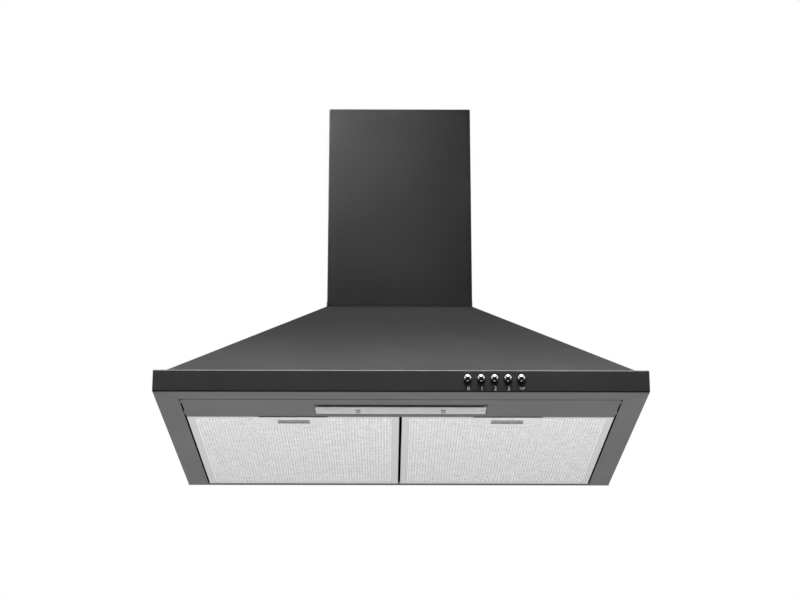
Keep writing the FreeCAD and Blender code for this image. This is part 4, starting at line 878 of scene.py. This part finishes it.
@dataclass
class LampStrip:
    """The ribbed lamp cover on its pins, the tray above it and its lamps."""

    shop: Workshop
    gauge: float = 1.2 * MM
    flutes: int = 4
    flute_depth: float = 0.7 * MM
    crown: float = 1.5 * MM
    end_round: float = 4.0 * MM
    rim: float = 2.5 * MM
    pin_radius: float = 1.0 * MM
    pin_reach: float = 6.5 * MM
    pin_level: float = 2.7 * MM
    pin_steps: int = 16
    ear_size: float = 3.0 * MM
    ear_depth: float = 4.0 * MM
    soft_edge: float = 0.3 * MM
    catch_shift: float = 53.0 * MM
    catch_width: float = 6.0 * MM
    catch_length: float = 14.0 * MM
    steps_across: int = 90
    steps_along: int = 60

    def build(self) -> None:
        """Dresses the tray and lamps, and makes the cover."""
        pairs = [side.value for side in Side]
        self.shop.dress_nodes({
            ZINC_STEEL: ("lamp_tray",),
            CERAMIC: [f"lampholder_{word}" for word in pairs],
            BRASS_SHELL: [f"lamp_cap_{word}" for word in pairs],
            FROSTED_GLASS: [f"lamp_bulb_{word}" for word in pairs],
        })
        self._cover()
        self._catches()

    def _catches(self) -> None:
        """Makes the two catches that hold the closed cover, flush in its face."""
        low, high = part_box("lamp_cover")
        middle = (low + high) / 2
        size = Vector((self.catch_width, self.catch_length, self.gauge))
        mesh = bmesh.new()
        for side in Side:
            corner = Vector((middle.x + side.sign * self.catch_shift - size.x / 2,
                             middle.y - size.y / 2, low.z))
            block(mesh, corner, corner + size, self.soft_edge)
        self.shop.piece("lamp_cover_catches", mesh, "lamp_door", "grey_plastic", CATCH_PLASTIC)

    def _drop(self, across: float, end: float, rim: float) -> float:
        """How far the cover's face lies below its edges.

        Args:
            across: The place over its depth, from -1 to 1.
            end: The distance from the nearer end.
            rim: The part of its half depth that the plain rim takes.

        Returns:
            The drop.
        """
        short = 1.0 - min(1.0, max(0.0, end / self.end_round))
        easing = math.sqrt(1.0 - short ** 2)
        flat = max(0.0, 1.0 - across ** 2)
        inner = across / (1.0 - rim)
        ridge = abs(math.sin(math.pi * self.flutes * (inner + 1.0) / 2.0))
        groove = self.flute_depth * (1.0 - ridge) if abs(inner) < 1.0 else 0.0
        return easing * (self.crown * flat - groove)

    def _cover(self) -> None:
        """Makes the fluted cover with its ears and hinge pins."""
        low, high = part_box("lamp_cover")
        half_x = (high.x - low.x) / 2 - self.pin_reach
        half_y = (high.y - low.y) / 2
        middle = (low + high) / 2
        edge_level = low.z + self.crown
        mesh = bmesh.new()
        bmesh.ops.create_grid(mesh, x_segments=self.steps_along, y_segments=self.steps_across,
                              size=1.0)
        bmesh.ops.scale(mesh, vec=(half_x, half_y, 1.0), verts=mesh.verts)
        for vert in mesh.verts:
            vert.co.x = half_x * math.sin(0.5 * math.pi * vert.co.x / half_x)
            vert.co.z = -self._drop(vert.co.y / half_y, half_x - abs(vert.co.x),
                                    self.rim / half_y)
        bmesh.ops.recalc_face_normals(mesh, faces=mesh.faces)
        if mesh.faces[0].normal.z > 0:
            bmesh.ops.reverse_faces(mesh, faces=mesh.faces)
        bmesh.ops.solidify(mesh, geom=mesh.faces[:], thickness=self.gauge)
        bmesh.ops.translate(mesh, verts=mesh.verts, vec=(middle.x, middle.y, edge_level))
        for side in Side:
            end = middle.x + side.sign * half_x
            ear = sorted((end, end - side.sign * self.ear_size))
            block(mesh, Vector((ear[0], low.y, edge_level + self.gauge / 2)),
                  Vector((ear[1], low.y + self.ear_depth,
                          edge_level + self.pin_level + self.pin_radius)), self.soft_edge)
            span = sorted((end - side.sign * self.ear_size / 2, end + side.sign * self.pin_reach))
            turned(mesh, [(0.0, span[0]), (self.pin_radius, span[0]), (self.pin_radius, span[1]),
                          (0.0, span[1])],
                   Vector((0.0, low.y + self.pin_radius, edge_level + self.pin_level)), Axis.X,
                   self.pin_steps)
        close_up(mesh)
        piece = self.shop.piece("lamp_cover_fluted", mesh, "lamp_door", "lamp_diffuser",
                                LAMP_DIFFUSER, smooth_below=50.0)
        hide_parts("lamp_cover")


@dataclass
class ButtonBank:
    """Five chromed buttons with their bushes, springs, switch and printed legends.

    A digit's height is digit_share of its type's size.
    """

    shop: Workshop
    count: int = 5
    travel: float = 3.0 * MM
    legend_height: float = 5.0 * MM
    legend_level: float = 2.3 * MM
    legend_shift: float = 0.9 * MM
    legend_depth: float = 0.04 * MM
    digit_share: float = 0.7
    ray_count: int = 7
    ray_length: float = 1.1 * MM
    ray_width: float = 0.5 * MM
    bowl_radius: float = 1.6 * MM
    bowl_steps: int = 24
    sign_level: float = 6.0 * MM

    def build(self) -> None:
        """Dresses the bank and prints its legends."""
        each = range(self.count)
        self.shop.dress_nodes({
            POLISHED_CHROME: [f"push_button_{i}" for i in each],
            BLACK_PLASTIC: ("button_bushes", "switch_bank"),
            SPRING_WIRE: [f"button_spring_{i}" for i in each],
        })
        for i in each:
            self.shop.compress(f"button_spring_{i}", f"button_{i}_press", self.travel)
            low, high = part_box(f"push_button_{i}")
            x = (low.x + high.x) / 2 + self.legend_shift
            if i < self.count - 1:
                self._digit(str(i), x)
            else:
                self._lamp_sign(x)

    def _base(self) -> Vector:
        """The lowest corner of the band, on its front face."""
        low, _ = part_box("base_frame")
        return low

    def _digit(self, text: str, x: float) -> None:
        """Prints one digit under its button.

        Args:
            text: The digit.
            x: The middle of its place.
        """
        curve = bpy.data.curves.new(f"legend_{text}", "FONT")
        curve.body = text
        curve.align_x = "CENTER"
        curve.size = self.legend_height / self.digit_share
        curve.extrude = self.legend_depth / 2
        words = bpy.data.objects.new(f"legend_{text}_outline", curve)
        bpy.context.scene.collection.objects.link(words)
        bpy.context.view_layer.update()
        data = bpy.data.meshes.new_from_object(words)
        bpy.data.objects.remove(words)
        mesh = bmesh.new()
        mesh.from_mesh(data)
        bpy.data.meshes.remove(data)
        base = self._base()
        place = (Matrix.Translation((x, base.y - self.legend_depth / 2,
                                     base.z + self.legend_level))
                 @ Matrix.Rotation(math.radians(90), 4, "X"))
        bmesh.ops.transform(mesh, matrix=place, verts=mesh.verts)
        close_up(mesh)
        self.shop.piece(f"legend_{text}", mesh, "hood", "white_plastic", LEGEND_INK)

    def _lamp_sign(self, x: float) -> None:
        """Prints a lamp's sign: a bowl, open above, with rays round its lower side.

        Args:
            x: The middle of its place.
        """
        base = self._base()
        mesh = bmesh.new()
        place = (Matrix.Translation((x, base.y - self.legend_depth,
                                     base.z + self.sign_level))
                 @ Matrix.Rotation(math.radians(90), 4, "X"))
        ring = bmesh.ops.create_circle(mesh, segments=self.bowl_steps, radius=self.bowl_radius)
        inner = bmesh.ops.create_circle(mesh, segments=self.bowl_steps,
                                        radius=self.bowl_radius - self.ray_width)
        loops = {e for v in ring["verts"] + inner["verts"] for e in v.link_edges}
        bmesh.ops.bridge_loops(mesh, edges=list(loops))
        upper = [f for f in mesh.faces if f.calc_center_median().y > self.ray_width]
        bmesh.ops.delete(mesh, geom=upper, context="FACES")
        for i in range(self.ray_count):
            angle = math.radians(180 + 180 * i / (self.ray_count - 1))
            size = Matrix.Diagonal((self.ray_length / 2, self.ray_width / 2, 1.0, 1.0))
            out = Matrix.Translation((self.bowl_radius + self.ray_length, 0.0, 0.0))
            bmesh.ops.create_grid(mesh, x_segments=1, y_segments=1, size=1.0,
                                  matrix=Matrix.Rotation(angle, 4, "Z") @ out @ size)
        bmesh.ops.transform(mesh, matrix=place, verts=mesh.verts)
        bmesh.ops.recalc_face_normals(mesh, faces=mesh.faces)
        bmesh.ops.solidify(mesh, geom=mesh.faces[:], thickness=self.legend_depth)
        self.shop.piece("legend_lamp", mesh, "hood", "white_plastic", LEGEND_INK)


@dataclass
class FanUnit:
    """The scroll fan, its motor and its outlet with the two flaps."""

    shop: Workshop

    def build(self) -> None:
        """Dresses the fan."""
        self.shop.dress_nodes({
            BLACK_PLASTIC: ("fan_housing", "outlet_collar"),
            IMPELLER_PLASTIC: ("impeller",),
            ZINC_STEEL: ("inlet_guard", "motor_bracket", "motor_casing", "damper_pin",
                         "impeller_nut", "motor_shaft"),
            SOFT_RUBBER: ("motor_bushes",),
            GREY_PLASTIC: [f"damper_flap_{side.value}" for side in Side],
        })


@dataclass
class Electrics:
    """The capacitor, the terminal box and the cord gland."""

    shop: Workshop

    def build(self) -> None:
        """Dresses the electrics."""
        self.shop.dress_nodes({
            WHITE_PLASTIC: ("capacitor", "terminal_box", "terminal_lid"),
            ZINC_STEEL: ("capacitor_clip",),
            BLACK_PLASTIC: ("cable_gland",),
        })


# Studio

@dataclass(frozen=True)
class SoftBox:
    """A soft area light."""

    name: str
    place: Point
    target: Point
    size: Span
    power: float
    spread: float = 180.0

    def build(self) -> bpy.types.Object:
        """Adds the light, turned towards its target.

        Returns:
            The light.
        """
        lamp = bpy.data.lights.new(self.name, "AREA")
        lamp.shape = "RECTANGLE"
        lamp.size, lamp.size_y = self.size
        lamp.energy = self.power
        lamp.spread = math.radians(self.spread)
        light = bpy.data.objects.new(self.name, lamp)
        light.location = self.place
        aim = Vector(self.target) - Vector(self.place)
        light.rotation_euler = aim.to_track_quat("-Z", "Y").to_euler()
        light.visible_camera = False
        bpy.context.scene.collection.objects.link(light)
        return light


LAMPS = (
    SoftBox("overhead", (0.0, -0.75, 1.75), (0.0, -0.50, 0.0), (3.2, 0.4), 5.2, 100.0),
    SoftBox("ledge strip", (0.0, -0.50, 0.62), (0.0, -0.46, -0.08), (1.5, 0.3), 0.3, 45.0),
    SoftBox("front strip", (0.0, -0.66, 0.40), (0.0, -0.46, -0.08), (1.3, 0.25), 2.2, 50.0),
    SoftBox("rear strip", (0.0, 0.25, 0.75), (0.0, -0.45, -0.08), (2.4, 0.15), 0.1, 120.0),
    SoftBox("low strip", (0.0, 0.70, -1.10), (0.0, -0.25, -0.12), (2.0, 1.0), 3.3, 120.0),
    SoftBox("chimney key", (-0.5, -0.7, 0.95), (-0.1, -0.18, 0.38), (0.3, 0.3), 0.9, 30.0),
)


@dataclass
class Studio:
    """The camera, the lights, the pale surroundings and the floor.

    What glossy surfaces mirror is a curve over height, from 0 straight below to 1 straight
    above: one curve for behind the hood, one for before it and one for its two sides.
    """

    camera_place: Point = (-0.0166, -2.815, -0.794)
    camera_pitch: float = 18.71
    camera_yaw: float = -0.37
    camera_lens: float = 90.8
    floor_level: float = -1.77
    floor_half: float = 4.0
    floor_glow: float = 0.45
    floor_shade: float = 0.82
    floor_roughness: float = 0.8
    ambient: float = 0.3
    aside: Curve = ((0.0, 1.0), (0.06, 0.7), (0.14, 0.08), (0.48, 0.16), (0.6, 0.9), (1.0, 1.0))
    behind: Curve = ((0.0, 1.0), (0.02, 1.0), (0.05, 0.0), (0.18, 0.02), (0.27, 0.76),
                     (0.33, 0.9), (0.45, 0.9), (0.52, 0.7), (0.6, 0.05), (0.92, 0.05),
                     (0.97, 0.6))
    before: Curve = ((0.0, 1.0), (0.03, 1.0), (0.06, 0.0), (0.8, 0.03), (0.86, 0.1),
                     (0.92, 1.0))

    turn_to_back: Span = (-0.1, 0.3)
    turn_to_side: Span = (0.6, 0.85)

    def build(self) -> None:
        """Sets up the whole studio."""
        scene = bpy.context.scene
        scene.view_settings.view_transform = "Standard"
        self._camera(scene)
        self._world(scene)
        self._floor()
        for lamp in LAMPS:
            lamp.build()

    def _camera(self, scene: bpy.types.Scene) -> None:
        """Places the camera as the photograph was taken.

        Args:
            scene: The scene.
        """
        data = bpy.data.cameras.new("camera")
        data.lens = self.camera_lens
        camera = bpy.data.objects.new("camera", data)
        camera.location = self.camera_place
        camera.rotation_euler = (math.radians(90 + self.camera_pitch), 0.0,
                                 math.radians(self.camera_yaw))
        scene.collection.objects.link(camera)
        scene.camera = camera

    def _world(self, scene: bpy.types.Scene) -> None:
        """Surrounds the hood with white, and shapes what glossy surfaces mirror.

        Args:
            scene: The scene.
        """
        world = bpy.data.worlds.new("studio")
        scene.world = world
        world.use_nodes = True
        tree = world.node_tree
        tree.nodes.clear()
        way = add_node(tree, "ShaderNodeTexCoord").outputs["Generated"]
        parts = add_node(tree, "ShaderNodeSeparateXYZ")
        tree.links.new(way, parts.inputs["Vector"])
        height = calculate(tree, "MULTIPLY_ADD", parts.outputs["Z"], 0.5, 0.5)
        behind, before, aside = (curve_of(tree, height, stops)
                                 for stops in (self.behind, self.before, self.aside))
        depth = ramp_between(tree, parts.outputs["Y"], *self.turn_to_back)
        gap = calculate(tree, "SUBTRACT", behind, before)
        sheen = calculate(tree, "MULTIPLY_ADD", depth, gap, before)
        width = ramp_between(tree, calculate(tree, "ABSOLUTE", parts.outputs["X"]),
                             *self.turn_to_side)
        gap = calculate(tree, "SUBTRACT", aside, sheen)
        sheen = calculate(tree, "MULTIPLY_ADD", width, gap, sheen)
        rays = add_node(tree, "ShaderNodeLightPath")
        mirrored = add_node(tree, "ShaderNodeBackground")
        tree.links.new(sheen, mirrored.inputs["Strength"])
        ambient = add_node(tree, "ShaderNodeBackground")
        ambient.inputs["Strength"].default_value = self.ambient
        seen = add_node(tree, "ShaderNodeBackground")
        for background in (mirrored, ambient, seen):
            background.inputs["Color"].default_value = (1.0, 1.0, 1.0, 1.0)
        lit = add_node(tree, "ShaderNodeMixShader")
        tree.links.new(rays.outputs["Is Glossy Ray"], lit.inputs[0])
        tree.links.new(ambient.outputs[0], lit.inputs[1])
        tree.links.new(mirrored.outputs[0], lit.inputs[2])
        direct = calculate(tree, "MAXIMUM", rays.outputs["Is Camera Ray"],
                           rays.outputs["Is Transmission Ray"])
        whole = add_node(tree, "ShaderNodeMixShader")
        tree.links.new(direct, whole.inputs[0])
        tree.links.new(lit.outputs[0], whole.inputs[1])
        tree.links.new(seen.outputs[0], whole.inputs[2])
        surface = add_node(tree, "ShaderNodeOutputWorld")
        tree.links.new(whole.outputs[0], surface.inputs["Surface"])

    def _floor(self) -> None:
        """Lays a pale floor far below the hood, which a camera under it sees through."""
        mesh = bmesh.new()
        bmesh.ops.create_grid(mesh, x_segments=1, y_segments=1, size=self.floor_half)
        data = bpy.data.meshes.new("floor")
        mesh.to_mesh(data)
        mesh.free()
        floor = bpy.data.objects.new("floor", data)
        floor.location.z = self.floor_level
        floor.visible_glossy = False
        bpy.context.scene.collection.objects.link(floor)
        material = bpy.data.materials.new("pale floor")
        material.use_nodes = True
        tree = material.node_tree
        shader = tree.nodes["Principled BSDF"]
        shader.inputs["Base Color"].default_value = (*[self.floor_shade] * 3, 1.0)
        shader.inputs["Roughness"].default_value = self.floor_roughness
        shader.inputs["Emission Color"].default_value = (1.0, 1.0, 1.0, 1.0)
        rays = add_node(tree, "ShaderNodeLightPath")
        glow = calculate(tree, "MULTIPLY", rays.outputs["Is Camera Ray"], self.floor_glow)
        tree.links.new(glow, shader.inputs["Emission Strength"])
        facing = add_node(tree, "ShaderNodeNewGeometry")
        clear = add_node(tree, "ShaderNodeBsdfTransparent")
        surface = add_node(tree, "ShaderNodeMixShader")
        tree.links.new(facing.outputs["Backfacing"], surface.inputs[0])
        tree.links.new(shader.outputs[0], surface.inputs[1])
        tree.links.new(clear.outputs[0], surface.inputs[2])
        tree.links.new(surface.outputs[0], tree.nodes["Material Output"].inputs["Surface"])
        data.materials.append(material)


def corners(bounds: Sequence[Sequence[float]]) -> list[list[float]]:
    """A box as plain lists of numbers.

    Args:
        bounds: The box's two corners.

    Returns:
        The same corners.
    """
    return [[float(value) for value in corner] for corner in bounds]


def main() -> None:
    """Loads the construction frame, then builds every sub-assembly and the studio."""
    for leftover in list(bpy.data.objects):
        bpy.data.objects.remove(leftover)
    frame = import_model()
    shop = Workshop(frame["nodes"], Wardrobe())
    Studio().build()
    HoodBody(shop).build()
    Chimney(shop).build()
    for side in Side:
        GreaseFilter(shop, side).build()
    LampStrip(shop).build()
    ButtonBank(shop).build()
    FanUnit(shop).build()
    Electrics(shop).build()


if __name__ == "__main__":
    logging.basicConfig(level=logging.INFO, format="%(message)s")
    main()
